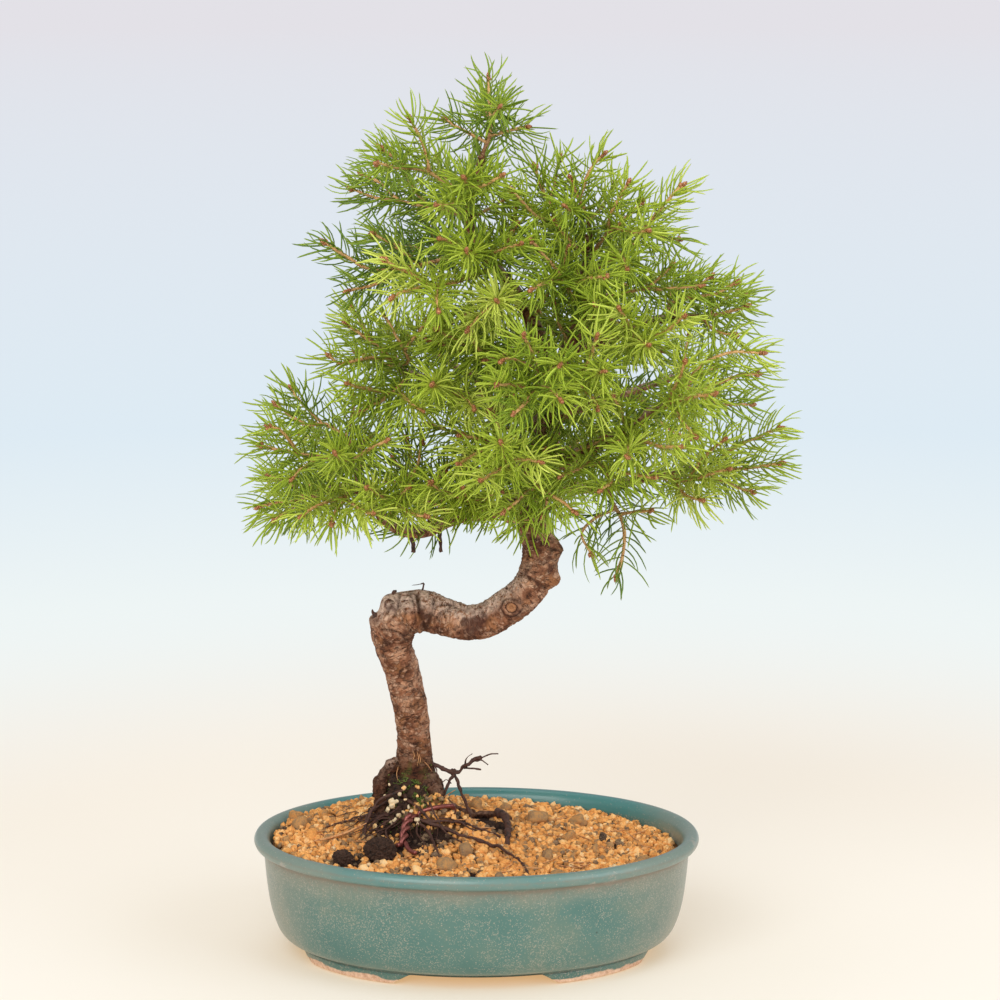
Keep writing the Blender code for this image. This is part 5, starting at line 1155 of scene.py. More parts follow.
def add_pot(paint):
    """The pot's outline carried round its oval. The foot's underside is lifted to leave four feet."""
    outline = rounded(POT_PROFILE)
    grid = oval_grid(outline, POT_SIDES)
    grid = grid + 0.14 * layered(grid, 26.0, 2, 4)[..., None] * unit(grid * (1, 1, 0) + 1e-9)
    x, y, z = np.moveaxis(grid, -1, 0)
    into = np.maximum(FRONT_NOTCH - abs(x), END_NOTCH - abs(y)) + 0.35 * noise(grid, 3.0, 9)
    lift = np.clip(NOTCH_SLOPE * (into + 3.0), 0, NOTCH_HEIGHT)
    outside = (np.arange(len(outline)) <= np.argmax(outline[:, 1]))[:, None]
    z = np.where((z < NOTCH_HEIGHT) & outside, np.maximum(z, lift), z)
    grid = np.stack([x, y, z], -1)
    ring = outline[:, 1:]
    uneven = 0.5 * layered(grid, 9.0, 3, 12)
    thin = outside * (0.75 * bell(ring - 45.2 + uneven, 0.9) + 0.4 * bell(ring - 43.4 + 2 * uneven, 2.4))
    thin = thin + 0.5 * outside * bell(ring - 4.9, 0.6)
    thin = thin + 0.55 * bell(np.linalg.norm(outline - (95.0, 49.4), axis=1), 0.8)[:, None]
    worn = sum(power * bell(np.linalg.norm(grid - place, axis=2), reach) for place, reach, power in GLAZE_WEAR)
    under = outside & (outline[:, :1] < 76.45) & (z < 5.2)
    bare = np.where(under, step(2.9, 1.6, z + 0.7 * uneven) + (outline[:, :1] < 74.5), 0)
    sandy = step(52, 92, abs(x)) * 0.8 + 0.45 * step(34, 43, z) * outside + 0.2
    surface = skin(grid, thin=np.broadcast_to(thin, z.shape), worn=worn, bare=bare.astype(float), sandy=sandy)
    pot = make_piece("glazed_pot", surface, [paint], ["pot"])
    drills = []
    for x in (-DRAIN_X, DRAIN_X):
        path = np.array([(x, 0, FLOOR_UNDER - 3), (x, 0, FLOOR_TOP + 3)], float)
        drills.append(skin(tube_grid(path, DRAIN_RADIUS, 48)[0], thin=0.0, worn=0.0, bare=1.0, sandy=0.0))
    cut(pot, make_object("drain_drill", joined(drills), [paint]))


def soil_height(x, y):
    """The soil's level: a slope to the right and front, a bell-shaped mound at the trunk and a heap before it."""
    mound = MOUND_HEIGHT * np.exp(-((x - MOUND[0]) ** 2 + (y - MOUND[1]) ** 2) / (2 * MOUND_SPREAD**2))
    heap = HEAP_HEIGHT * bell(np.hypot((x - HEAP[0]) / HEAP_SPREAD[0], (y - HEAP[1]) / HEAP_SPREAD[1]), 1.0)
    return SOIL_LEVEL + SOIL_SLOPE[0] * x + SOIL_SLOPE[1] * y + mound + heap


def peatiness(x, y):
    """How peaty the soil is at a place: the strongest of the bell curves round the peaty patches."""
    return np.max([bell(np.hypot(x - place[0], y - place[1]), spread) for place, spread in PEAT_PATCHES], axis=0)


def ball(steps):
    """A ball from a cube whose faces have this many squares a side: its points and its faces."""
    line = np.linspace(-1, 1, steps + 1)
    u, v = [part.ravel() for part in np.meshgrid(line, line, indexing="ij")]
    square = np.arange((steps + 1) ** 2).reshape(steps + 1, steps + 1)
    quad = np.stack([square[:-1, :-1], square[1:, :-1], square[1:, 1:], square[:-1, 1:]], -1).reshape(-1, 4)
    points, quads = [], []
    for axis in range(3):
        for side in (-1, 1):
            face = np.roll(np.stack([np.full(len(u), float(side)), u, v], 1), axis, axis=1)
            quads.append((quad if side > 0 else quad[:, ::-1]) + len(points) * len(u))
            points.append(face)
    points, quads = np.vstack(points), np.vstack(quads)
    kept, index = np.unique(np.round(points, 6), axis=0, return_inverse=True)
    return unit(kept), index.reshape(-1)[quads]


def icosahedron():
    """The 12 corners of an icosahedron, at (0, 1, golden ratio) turned and mirrored, and its 20 faces."""
    golden = (1 + math.sqrt(5)) / 2
    corners = [np.roll((0, a, b * golden), turn) for a, b in product((-1, 1), repeat=2) for turn in range(3)]
    corners = np.array(corners)
    near = np.abs(np.linalg.norm(corners[:, None] - corners[None], axis=2) - 2) < 0.01
    faces = []
    for i, j, k in combinations(range(12), 3):
        if near[i, j] and near[j, k] and near[i, k]:
            outward = np.linalg.det(corners[[i, j, k]]) > 0
            faces.append((i, j, k) if outward else (i, k, j))
    return unit(corners), np.array(faces)


def turned(count, draw):
    """Random rotations, as matrices made from unit quaternions."""
    w, x, y, z = unit(draw.normal(size=(count, 4))).T
    rows = [[1 - 2 * (y * y + z * z), 2 * (x * y - z * w), 2 * (x * z + y * w)],
            [2 * (x * y + z * w), 1 - 2 * (x * x + z * z), 2 * (y * z - x * w)],
            [2 * (x * z - y * w), 2 * (y * z + x * w), 1 - 2 * (x * x + y * y)]]
    return np.moveaxis(np.array(rows), -1, 0)


def stones(places, sizes, tones, draw, ball_points, faces, lumpy):
    """Worn stones: a ball whose radius in direction d is (sum of |d| to the n) to the -1/n, stretched and turned.

    n is 2 for a ball and more for a rounded cube. Noise makes the ball lumpy."""
    count = len(places)
    power = draw.uniform(2.2, 5.0, (count, 1))
    radius = (abs(ball_points[None]) ** power[..., None]).sum(2) ** (-1 / power)
    radius = radius * (1 + lumpy * noise(ball_points[None] * 1.3 + np.arange(count)[:, None, None] * 7.1, 1.0, 3))
    stretch = draw.uniform(0.68, 1.22, (count, 1, 3))
    shape = ball_points[None] * radius[..., None] * stretch * np.asarray(sizes)[:, None, None]
    shape = np.einsum("nij,nvj->nvi", turned(count, draw), shape)
    quads, tris = (faces, []) if faces.shape[1] == 4 else ([], faces)
    return copies(shape + np.asarray(places)[:, None], quads, tris, tone=np.asarray(tones)[:, None])


def grain_places(pitch, draw):
    """A staggered grid of points over the soil, each moved a little at random."""
    rows = int(POT_WIDTH / 2 / (0.87 * pitch)) + 1
    columns = int(POT_LENGTH / 2 / pitch) + 1
    row, column = [part.ravel() for part in np.mgrid[-rows:rows + 1, -columns:columns + 1]]
    x = (column + 0.5 * (row % 2) + draw.uniform(-0.42, 0.42, len(row))) * pitch
    y = (row * 0.87 + draw.uniform(-0.4, 0.4, len(row))) * pitch
    return x, y


def add_soil(bed_finish, grit):
    """A low bed that rises where it is peaty, over it a layer of grains, and larger stones here and there."""
    outline = np.array([(a - 0.4, z + 0.4) for a, z in [(72, 10), (81, 14), (85.4, 28), (86.8, 43)]])
    sides = oval_grid(outline, BED_SIDES)
    share = np.linspace(1, 0.02, BED_RINGS)[:, None]
    angle = np.arange(BED_SIDES) * 2 * math.pi / BED_SIDES
    inset = (POT_LENGTH - POT_WIDTH) / 2
    x, y = share * SOIL_EDGE * np.cos(angle), share * (SOIL_EDGE - inset) * np.sin(angle)
    flat = np.stack([x, y, 0 * x], -1)
    peaty = step(0.3, 0.6, peatiness(x, y) + 0.12 * noise(flat, 3.0, 33))
    z = soil_height(x, y) - 1.7 + 1.9 * peaty + 0.6 * noise(flat, 2.0, 31) + 0.6 * noise(flat, 4.5, 32)
    top = np.stack([x, y, z], -1)
    bed = skin(np.concatenate([sides, top]), peaty=np.concatenate([np.zeros((4, BED_SIDES)), peaty]))
    make_piece("soil_bed", bed, [bed_finish], ["soil"])

    draw = np.random.default_rng(21)
    x, y = grain_places(GRAIN_PITCH, draw)
    size = np.clip(draw.lognormal(0.14, 0.25, len(x)), 0.7, 2.0)
    limit = SOIL_EDGE - size
    keep = (x / limit) ** 2 + (y / (limit - inset)) ** 2 < 1
    keep &= np.hypot(x - TRUNK[0][0][0], y - TRUNK[0][0][1]) > 9.0
    for place, reach in CLODS.values():
        keep &= np.hypot((x - place[0]) / reach[0], (y - place[1]) / reach[1]) > 0.85
    keep &= draw.random(len(x)) > 0.86 * step(0.3, 0.65, peatiness(x, y))
    x, y, size = x[keep], y[keep], size[keep]
    peaty = peatiness(x, y)
    pick = draw.random(len(x))
    tone = np.interp(pick, [0, 0.02, 0.1, 0.27, 0.45, 0.92, 0.99, 1], [0.05, 0.18, 0.29, 0.4, 0.51, 0.72, 0.8, 0.95])
    dark = draw.random(len(x)) < peaty * 0.8
    tone = np.where(dark, draw.uniform(0.0, 0.2, len(x)), tone)
    z = soil_height(x, y) - 0.5 + 0.6 * peaty + 0.2 * size + draw.normal(0, 0.38, len(x))
    grains = stones(np.stack([x, y, z], 1), size, tone, draw, *icosahedron(), 0.28)
    make_piece("grit_grains", grains, [grit]).data.shade_flat()

    x, y = np.array([place for place, *_ in STONES], float).T
    size = np.array([row[1] for row in STONES]) * 0.7
    tone = np.array([row[2] for row in STONES])
    big = stones(np.stack([x, y, soil_height(x, y) + 0.35 * size], 1), size, tone, draw, *ball(6), 0.34)
    places, sizes, tones = [np.array(column, float) for column in zip(*PALE_GRAINS)]
    pale = stones(places, sizes, tones, draw, *ball(4), 0.3)
    make_piece("larger_stones", joined([big, pale]), [grit])


def knotted(grid):
    """How far the bark stands out for the knots, each a raised ring round a hollow, and how dark its rings are: painted
    shade just outside each ring and round its hollow.
    """
    total, dark = 0.0, 0.0
    for place, ring, height in KNOTS:
        away = np.linalg.norm((grid - np.array(place)) * (1, 1, 1.15), axis=2) + 0.5 * layered(grid, 2.2, 2, 61)
        total = total + height * bell(away - 0.85 * ring, 0.8) - 0.6 * height * bell(away, 0.5 * ring)
        dark = np.maximum(dark, np.maximum(bell(away - 1.2 * ring, 0.6), 0.7 * bell(away - 0.45 * ring, 0.5)))
    dark = dark * step(-1.0, 0.1, noise(grid, 1.7, 63))
    return total, dark


def pressed(grid, out):
    """How far the folds press in at each point, and how dark they are as painted shade in the folds: a bell across the
    route of each.

    A route is given across and up, and only bark that faces the front is pressed in."""
    depth, dark = 0.0, 0.0
    flat = grid[..., [0, 2]]
    facing = step(0.15, -0.35, out[..., 1])
    for route, deep, wide in GROOVES:
        route = even_path([(x, 0, z) for x, z in route], 1.0)[:, [0, 2]]
        away = np.min([np.linalg.norm(flat - place, axis=2) for place in route], axis=0)
        depth = np.maximum(depth, 1.4 * deep * bell(away, wide))
        # Painted shade in the fold: the deeper it is pressed, the darker.
        dark = np.maximum(dark, min(1.0, 0.4 + 0.8 * deep) * bell(away, wide * 0.8))
    return depth * facing, dark * facing * step(-0.9, 0.2, noise(grid, 1.6, 64))


def bark_skin(path, radii, sides, seed, young, rough=1.0, swellings=(), folds=0.0, grooved=False):
    """A tube whose surface is pushed in and out by lumps, wrinkles round it, flakes and fine noise.

    The pattern is worked out on the tube unrolled straight, so that it follows every bend."""
    grid, out = tube_grid(path, radii, sides)
    angle = np.arange(sides) * 2 * math.pi / sides
    along = np.broadcast_to(lengths_along(path)[:, None], grid.shape[:2])
    wide = np.broadcast_to(np.asarray(radii, float), len(path))[:, None]
    unrolled = np.stack([wide * np.cos(angle), wide * np.sin(angle), along], -1) + seed * 13.7
    for place, facing, height, spread in swellings:
        amount = np.clip(out @ unit(np.array(facing, float)), 0, 1)
        grid = grid + out * (height * amount * bell(np.linalg.norm(grid - np.array(place), axis=2), spread))[..., None]
    warp = 0.9 * np.stack([noise(unrolled, 3.1, seed + 5 + i) for i in range(3)], -1)
    border, flake = plates((unrolled + warp) * (1, 1, 1.7), 2.1, seed + 11)
    edge = step(0.0, 0.2, border)
    patch = step(-0.35, 0.3, noise(unrolled, 7.0, seed + 31))
    wrinkle = noise((unrolled + 0.5 * warp) * (0.26, 0.26, 1.0), 1.9, seed + 21)
    line = 1 - step(0.0, 0.2, np.abs(wrinkle))
    strength = 0.22 + 0.7 * folds
    relief = 0.4 * layered(unrolled, 9.0, 3, seed) + 0.26 * (flake - 0.5) * patch - 0.26 * (1 - edge) * patch
    relief = relief + strength * (0.3 * wrinkle - 0.28 * line)
    relief = relief + 0.14 * noise(unrolled, 1.5, seed + 2) + 0.1 * noise(unrolled, 0.8, seed + 3)
    relief = relief * rough
    knots, rings = knotted(grid)
    relief = relief * (1 - 0.7 * np.clip(rings + abs(knots), 0, 1))
    depth, dark = pressed(grid, out) if grooved else (0.0, 0.0)
    grid = grid + out * (relief + knots - depth)[..., None]
    # Dark marks: the plates' borders and the wrinkle lines, plus painted shade in the pressed folds (dark) and round
    # the knots (rings).
    crack = 0.3 * (1 - edge) * patch + 0.35 * strength * line + dark + rings
    scar = np.clip(sum(1.5 * bell(np.linalg.norm(grid - np.array(place), axis=2), reach) for place, reach in SCARS), 0, 1)
    scar = scar * step(-0.55, 0.25, noise(unrolled, 2.4, seed + 7))
    wound = np.clip(1.15 - np.linalg.norm(grid - np.array(CUT_WOOD[0]), axis=2) / CUT_WOOD[1], 0, 1)
    height = grid[..., 2] + 3 * noise(grid, 6.0, 71)
    mossy = np.exp(-(((grid - MOSS_MIDDLE) / MOSS_REACH) ** 2).sum(2)) * step(0.0, 0.6, noise(grid, 2.2, 77))
    # top is how far the bark faces up; the paint turns it into painted light on top of the wood.
    return skin(grid, plate=flake, crack=np.clip(crack, 0, 1) * (wound == 0), scar=scar * (wound == 0), cut=wound, moss=np.clip(1.2 * mossy, 0, 1),
                damp=step(88, 74, height), young=np.clip(young, 0, 1), top=step(0.0, 0.65, out[..., 2]),
                unrolled_x=unrolled[..., 0], unrolled_y=unrolled[..., 1], unrolled_z=unrolled[..., 2])


def limb_feet():
    """A swelling of the trunk round the foot of each branch that grows from it."""
    rows = []
    for points, thick, _ in LIMBS.values():
        start, way = np.array(points[0], float), unit(np.subtract(points[1], points[0]).astype(float))
        rows.append((start + way * thick * 1.6, way, thick * 0.45, thick * 1.3))
    return rows


def tapered(points, thick, thin, spacing, foot=0.0):
    """An even path with its radii, which shrink steadily and flare at the foot by this share."""
    path = even_path(points, spacing)
    along = lengths_along(path)
    radii = thick + (thin - thick) * along / along[-1]
    return path, radii * (1 + foot * np.exp(-along / (1.1 * thick)))


def add_wood(bark, root_finish):
    """The trunk, its branches, and its surface roots and stubs, as three pieces."""
    rows = smooth_path([(*point, radius) for point, radius in TRUNK], TRUNK_PIECES)
    path, radii = rows[:, :3], rows[:, 3]
    turn = np.linalg.norm(np.gradient(unit(np.gradient(path, axis=0)), axis=0), axis=1) / np.gradient(lengths_along(path))
    folds = np.convolve(np.clip(turn / 0.035, 0, 1), np.ones(21) / 21, "same")[:, None]
    young = step(195, 262, path[:, 2])[:, None] * np.ones((1, TRUNK_SIDES))
    rough = (0.25 + 0.75 * step(2.0, 7.0, radii))[:, None]
    trunk = bark_skin(path, radii, TRUNK_SIDES, 3, young, rough, SWELLINGS + limb_feet(), folds, True)
    make_piece("trunk_bark", trunk, [bark], ["tree"])

    branches = []
    for number, (points, thick, thin) in enumerate(LIMBS.values()):
        path, radii = tapered(points, thick, thin, 1.25, 0.4)
        part = (lengths_along(path) / lengths_along(path)[-1])[:, None]
        young = (0.45 + 0.6 * part) * np.ones((1, 22))
        branches.append(bark_skin(path, radii, 22, 40 + number, young, 0.5 * (radii / thick)[:, None], (), 0.35))
    make_piece("branch_bark", joined(branches), [bark], ["tree"])

    thick_roots, thin_roots = [], []
    for number, (name, (points, thick, thin)) in enumerate([*ROOTS.items(), *STUBS.items()]):
        if name in ("long_root", "crossing_root", "elbow_stub", "elbow_twig"):
            continue
        if thick > 2.1:
            path, radii = tapered(points, thick, thin, 0.7, 0.1)
            lumps = 0.9 * noise(path, 5.0, 70 + number)
            thick_roots.append(bark_skin(path, radii + lumps, 56, 60 + number, 0.0, 2.2, (), 0.6))
            continue
        share = FINE_SHARE.get(name, 0.85)
        path, radii = tapered(points, thick * share, thin * share, 0.8)
        thin_roots.append(rootlet(path, radii, 80 + number))
    for number, (points, thick, thin) in enumerate(ROOTLETS):
        flat = even_path(points, 0.8)
        path = np.column_stack([flat[:, :2], soil_height(flat[:, 0], flat[:, 1]) + flat[:, 2]])
        thin_roots.append(rootlet(path, np.linspace(thick, thin, len(path)), 120 + number))
    for number, (points, thick, thin) in enumerate(FINE_TWIGS):
        path = even_path(points, 0.6)
        thin_roots.append(rootlet(path, np.linspace(thick, thin, len(path)), 150 + number))
    make_piece("thick_roots", joined(thick_roots), [bark], ["tree"])
    knobs = [crumbly(place, np.full(3, size), 90 + number, 10) for number, (place, size) in enumerate(KNOBS)]
    make_piece("thin_roots", joined(thin_roots + knobs + root_hairs()), [root_finish], ["tree"])
    return [trunk, *thick_roots]


def rootlet(path, radii, seed):
    """A thin root that wanders a little off its path and whose thickness wavers."""
    part = np.linspace(0, 1, len(path))[:, None]
    wander = np.stack([noise(path, 3.5, seed + i) + 0.5 * noise(path, 1.7, seed + i) for i in range(3)], 1)
    path = path + (0.25 + 0.45 * radii.max()) * wander * np.minimum(1, 4 * part)
    grid, out = tube_grid(path, radii * (1 + 0.3 * noise(path, 1.8, seed + 3)), 14)
    return skin(grid + out * (0.25 * radii.max() * layered(grid, 1.6, 2, seed + 4))[..., None])


def root_hairs():
    """Rootlets that wander outwards over the soil from the trunk's foot, each bending by a slow noise."""
    draw = np.random.default_rng(8)
    hairs = []
    for number in range(ROOT_HAIRS):
        angle = draw.uniform(-3.1, -1.1)
        start = np.array([MOUND[0], MOUND[1] - 6.0]) + draw.uniform(7, 16) * np.array([math.cos(angle), math.sin(angle)])
        count = draw.integers(9, 26)
        steps = np.arange(count)
        headings = angle + 1.1 * noise(np.stack([steps, np.full(count, number), np.zeros(count)], 1), 4.0, 51)
        flat = start + np.cumsum(np.stack([np.cos(headings), np.sin(headings)], 1) * 1.1, axis=0)
        lift = 1.7 + 1.3 * noise(np.column_stack([flat, np.full(count, number)]), 4.0, 52)
        path = np.column_stack([flat, soil_height(flat[:, 0], flat[:, 1]) + lift])
        grid, _ = tube_grid(path, np.linspace(draw.uniform(0.25, 0.5), 0.12, count), 5)
        hairs.append(skin(grid))
    return hairs


def add_wire(paint):
    """Two strands that turn round each other down the twist, each going on into a leg and an end."""
    core = smooth_path(WIRE_TWIST, 40)
    along = lengths_along(core)
    _, across, up = frames_along(core)
    strands = []
    for half, (leg, end) in enumerate(zip(WIRE_LEGS, WIRE_ENDS)):
        angle = (2 * math.pi * along / WIRE_TURN + half * math.pi)[:, None]
        helix = core + WIRE_RADIUS * 1.04 * (across * np.cos(angle) + up * np.sin(angle))
        path = even_path(np.vstack([leg[::-1], helix[::3], end]), 0.5)
        path = path + 0.12 * np.stack([noise(path, 2.5, 90 + half + i) for i in range(3)], 1)
        strands.append(skin(tube_grid(path, WIRE_RADIUS, 12)[0]))
    under = even_path([(-DRAIN_X - 0.3, 0, 3.2), (0, 0, 3.2), (DRAIN_X + 0.3, 0, 3.2)], 2.0)
    strands.append(skin(tube_grid(under, WIRE_RADIUS, 12)[0]))
    make_piece("twisted_wire", joined(strands), [paint], ["tie_wire"])


def crumbly(place, size, seed, steps=28):
    """A lump of peat: a ball pushed in and out by crumbs of three sizes."""
    points, quads = ball(steps)
    border, own = plates(points, 0.36, seed)
    small_border, small = plates(points, 0.17, seed + 10)
    swell = 1 + 0.17 * noise(points, 0.9, seed + 20) + 0.13 * (own - 0.5) + 0.13 * (step(0, 0.25, border) - 1)
    swell = swell + 0.1 * (small - 0.5) + 0.08 * (step(0, 0.25, small_border) - 1) + 0.1 * noise(points, 0.3, seed + 21)
    return Surface(points * swell[:, None] * np.array(size) + place, quads)


def packed_peat():
    """Crumbs of peat on a cone round the trunk's foot, and two larger lumps."""
    draw = np.random.default_rng(61)
    axis = np.array(TRUNK[0][0], float)
    lumps = [crumbly(place, size, 290 + number) for number, (place, size) in enumerate(PEAT_LUMPS)]
    for number in range(PEAT_CRUMBS):
        turn, height = draw.uniform(*PEAT_TURNS), draw.uniform(*PEAT_HEIGHTS)
        away = 8.2 + 0.5 * (PEAT_HEIGHTS[1] - height) + draw.normal(0, 0.4)
        place = (axis[0] + 1.1 * away * math.cos(turn), axis[1] + away * math.sin(turn), height)
        lumps.append(crumbly(place, draw.uniform(1.3, 3.0) * draw.uniform(0.75, 1.2, 3), 301 + number, 8))
    return lumps


def add_clods(paint):
    """The two clods of peat, and the peat packed between the roots at the trunk's foot."""
    for seed, (name, (place, size)) in enumerate(CLODS.items()):
        make_piece(name + "_crumbs", crumbly(place, size, 200 + seed), [paint], [name])
    packed = packed_peat()
    make_piece("packed_peat", joined(packed), [paint])
    return packed


def add_straw(paint):
    """A dry stalk split into strands that lie along each other."""
    strands = []
    for number in range(4):
        path = even_path(DRY_TWIG, 0.7)
        part = np.linspace(0, 1, len(path))
        shift = np.array([0.25 * math.cos(number * 1.7), 0.45 * math.sin(number * 1.7), 0.28 * math.cos(number * 2.3)])
        path = path + shift * (0.5 + part[:, None]) + 0.2 * np.stack([noise(path, 5.0, 300 + 9 * number + i) for i in range(3)], 1)
        path = path[: len(path) - 3 * number]
        strands.append(skin(tube_grid(path, 0.42 * np.sin(np.linspace(0.25, 2.8, len(path))) + 0.06, 7)[0]))
    for route in FIBRES:
        path = even_path(route, 0.6)
        strands.append(skin(tube_grid(path, 0.15 * np.sin(np.linspace(0.5, 2.9, len(path))), 5)[0]))
    make_piece("dry_stalk", joined(strands), [paint], ["dry_twig"])


def blades(feet, ways, sides, turns, lengths, radii):
    """Curved three-sided needles. The middle line is foot + length (way sin(tu) + side (1 - cos(tu))) / t: an arc that
    turns by the angle t from way towards side, with u from 0 to 1. The width follows shares and ends in a point."""
    u = np.array([*NEEDLE_RISE, 1.0])
    angle = turns[:, None, None] * u[None, :, None]
    arc = ways[:, None] * np.sin(angle) + sides[:, None] * (1 - np.cos(angle))
    line = feet[:, None] + (lengths / turns)[:, None, None] * arc
    across = np.cross(ways, sides)
    up = np.cross(ways, across)
    corner = np.arange(3) * 2 * math.pi / 3
    ring = across[:, None] * np.cos(corner)[:, None] + 0.8 * up[:, None] * np.sin(corner)[:, None]
    wide = np.array(NEEDLE_WIDTHS)[None, :, None, None] * radii[:, None, None, None]
    rings = line[:, :-1, None] + wide * ring[:, None]
    return np.concatenate([rings.reshape(len(feet), -1, 3), line[:, -1:]], 1)


def square_to(ways, targets):
    """The direction square to each way that leans towards its target."""
    return unit(targets - (targets * ways).sum(1, keepdims=True) * ways)


def blade_faces():
    """The faces of one needle: quads between its rings, three to its point, one at its foot."""
    rings = len(NEEDLE_RISE)
    last = 3 * (rings - 1)
    tip = 3 * rings
    fans = [(last + j, last + (j + 1) % 3, tip) for j in range(3)]
    return wrapped(rings, 3), fans + [(2, 1, 0)]


def needle_rows(path, draw, first=NEEDLE_FIRST, pitch=NEEDLE_PITCH, reach=1.0):
    """The needles of one twig, placed at even steps and a golden turn apart: the foot, way, side, turn and length
    of each, and how far along the twig it is."""
    along = lengths_along(path)
    ahead, across, up = frames_along(path)
    count = max(4, int(along[-1] * (1 - first) / pitch))
    k = np.arange(count)
    part = first + (1 - first) * (k + draw.random(count)) / count
    at = [np.stack([np.interp(part * along[-1], along, column) for column in rows.T], 1)
          for rows in (path, ahead, across, up)]
    turn = (k * GOLDEN_TURN + draw.normal(0, 0.3, count))[:, None]
    side = at[2] * np.cos(turn) + at[3] * np.sin(turn)
    low, high = NEEDLE_LEANS
    lean = (low + (high - low) * part**2.5 + draw.normal(0, 0.16, count))[:, None]
    ahead = unit(at[1])
    ways = unit(ahead * np.cos(lean) + side * np.sin(lean))
    targets = ahead + 0.1 * side + np.array([0, 0, -0.3]) + draw.normal(0, 0.22, (count, 3))
    turns = draw.uniform(*NEEDLE_TURNS, count)
    even = 0.74 + 0.28 * np.sin(math.pi * (0.12 + 0.78 * part)) ** 0.8
    lengths = NEEDLE_LENGTH * reach * draw.uniform(0.74, 1.1, count) * even
    return at[0] + side * 0.35, ways, square_to(ways, targets), turns, lengths, part


def inside_box(feet, ways, sides, turns, lengths):
    """The lengths, shortened where a needle's tip would leave the CAD model's box."""
    low, high = [(np.array(corner) - MIDDLE) / METRES for corner in cad_box]
    angle = turns[:, None]
    reach = lengths[:, None] / angle * (ways * np.sin(angle) + sides * (1 - np.cos(angle)))
    room = np.where(reach > 0, high - feet, low - feet)
    share = np.min(np.clip(room / np.where(abs(reach) < 1e-6, 1e-6, reach), 0.25, 1), axis=1)
    return lengths * share


def needle_surface(rows, fresh, draw):
    """One surface of needles from the rows of each twig, which are fresher towards its tip."""
    feet, ways, sides, turns, lengths, part = [np.concatenate(column) for column in zip(*rows)]
    lengths = inside_box(feet, ways, sides, turns, lengths)
    radii = NEEDLE_RADIUS * draw.uniform(0.85, 1.12, len(feet))
    quads, tris = blade_faces()
    along = np.append(np.repeat(NEEDLE_RISE, 3), 1.0)[None]
    freshness = np.concatenate(fresh) + 0.2 * (part - 0.6)
    return copies(blades(feet, ways, sides, turns, lengths, radii), quads, tris, along=along,
                  tint=draw.random(len(feet))[:, None], fresh=freshness[:, None])


def buds(tips, ways, draw):
    """Pointed buds: one ahead and two at the sides of each twig's tip. The radius is that of an egg."""
    count = len(tips)
    profile = np.array([0.04, 0.3, 0.6, 0.85, 1.0])
    wide = np.array([0.62, 0.98, 0.86, 0.45, 0.05])
    square = unit(np.cross(ways, draw.normal(size=(count, 3))))
    surfaces = []
    for aside, length, radius, back in ((0.0, 3.0, 1.1, 0.3), (1.0, 2.4, 0.9, 1.2), (-1.0, 2.2, 0.85, 1.3)):
        way = unit(ways + aside * square * 0.95)
        across = unit(np.cross(way, square + 0.01))
        up = np.cross(way, across)
        angle = np.arange(7) * 2 * math.pi / 7
        grow = draw.uniform(0.75, 1.1, count)[:, None, None, None]
        ring = across[:, None] * np.cos(angle)[:, None] + up[:, None] * np.sin(angle)[:, None]
        start = (tips - ways * back)[:, None, None]
        middle = way[:, None, None] * (length * profile)[:, None, None]
        shape = start + grow * (middle + ring[:, None] * (radius * wide)[:, None, None])
        surfaces.append(copies(shape.reshape(count, -1, 3), wrapped(5, 7), cap_faces(5, 7), 2,
                               along=np.repeat(profile, 7)[None]))
    return surfaces


def cap_faces(rings, sides):
    """Triangles that close the first and last ring, each a fan from its own first corner."""
    last = (rings - 1) * sides
    low = [(0, j + 1, j) for j in range(1, sides - 1)]
    return low + [(last, last + j, last + j + 1) for j in range(1, sides - 1)]


def nearest_on(path, point):
    """The closest point of a path to a point."""
    starts, steps = path[:-1], np.diff(path, axis=0)
    share = np.clip(((point - starts) * steps).sum(1) / (steps**2).sum(1), 0, 1)
    places = starts + steps * share[:, None]
    return places[np.argmin(np.linalg.norm(places - point, axis=1))]


def add_spray(name, routes, freshness, paints, seed, nodes, joins=True):
    """One spray: slim twigs along its routes, needles all round them, and buds at their tips.

    When it joins, each later twig starts from the nearest earlier one."""
    draw = np.random.default_rng(seed)
    cores, surfaces, rows, fresh = [], [], [], []
    for number, route in enumerate(routes):
        points = np.array(route, float)
        if number and joins:
            near = [nearest_on(core, points[0]) for core in cores]
            points[0] = near[np.argmin(np.linalg.norm(near - points[0], axis=1))]
        path = even_path(points, 2.0)
        part = np.linspace(0, 1, len(path))[:, None]
        path = path + 0.8 * part * np.stack([noise(path, 9.0, seed + number + i) for i in range(3)], 1)
        cores.append(path)
        thick, thin = SIDE_TWIG_RADII if number else TWIG_RADII
        radii = np.linspace(thick, thin, len(path)) * (1 + 0.12 * noise(path, 1.9, seed + number))
        grid, _ = tube_grid(path, radii, 7)
        surfaces.append(skin(grid, 1, along=0.35 * bool(number) + (1 - 0.35 * bool(number)) * part))
        places = needle_rows(path, draw, NEEDLE_FIRST if number else 0.16, NEEDLE_PITCH * THINNER.get(name, 1.0))
        rows.append(places)
        share = freshness + draw.normal(0, 0.07) + 0.1 * number / len(routes)
        fresh.append(np.full(len(places[0]), share))
    surfaces.append(needle_surface(rows, fresh, draw))
    tips = np.array([core[-1] for core in cores])
    ways = unit(np.array([core[-1] - core[-2] for core in cores]))
    surfaces += buds(tips, ways, draw)
    make_piece("needles_" + name, joined(surfaces), paints, nodes)


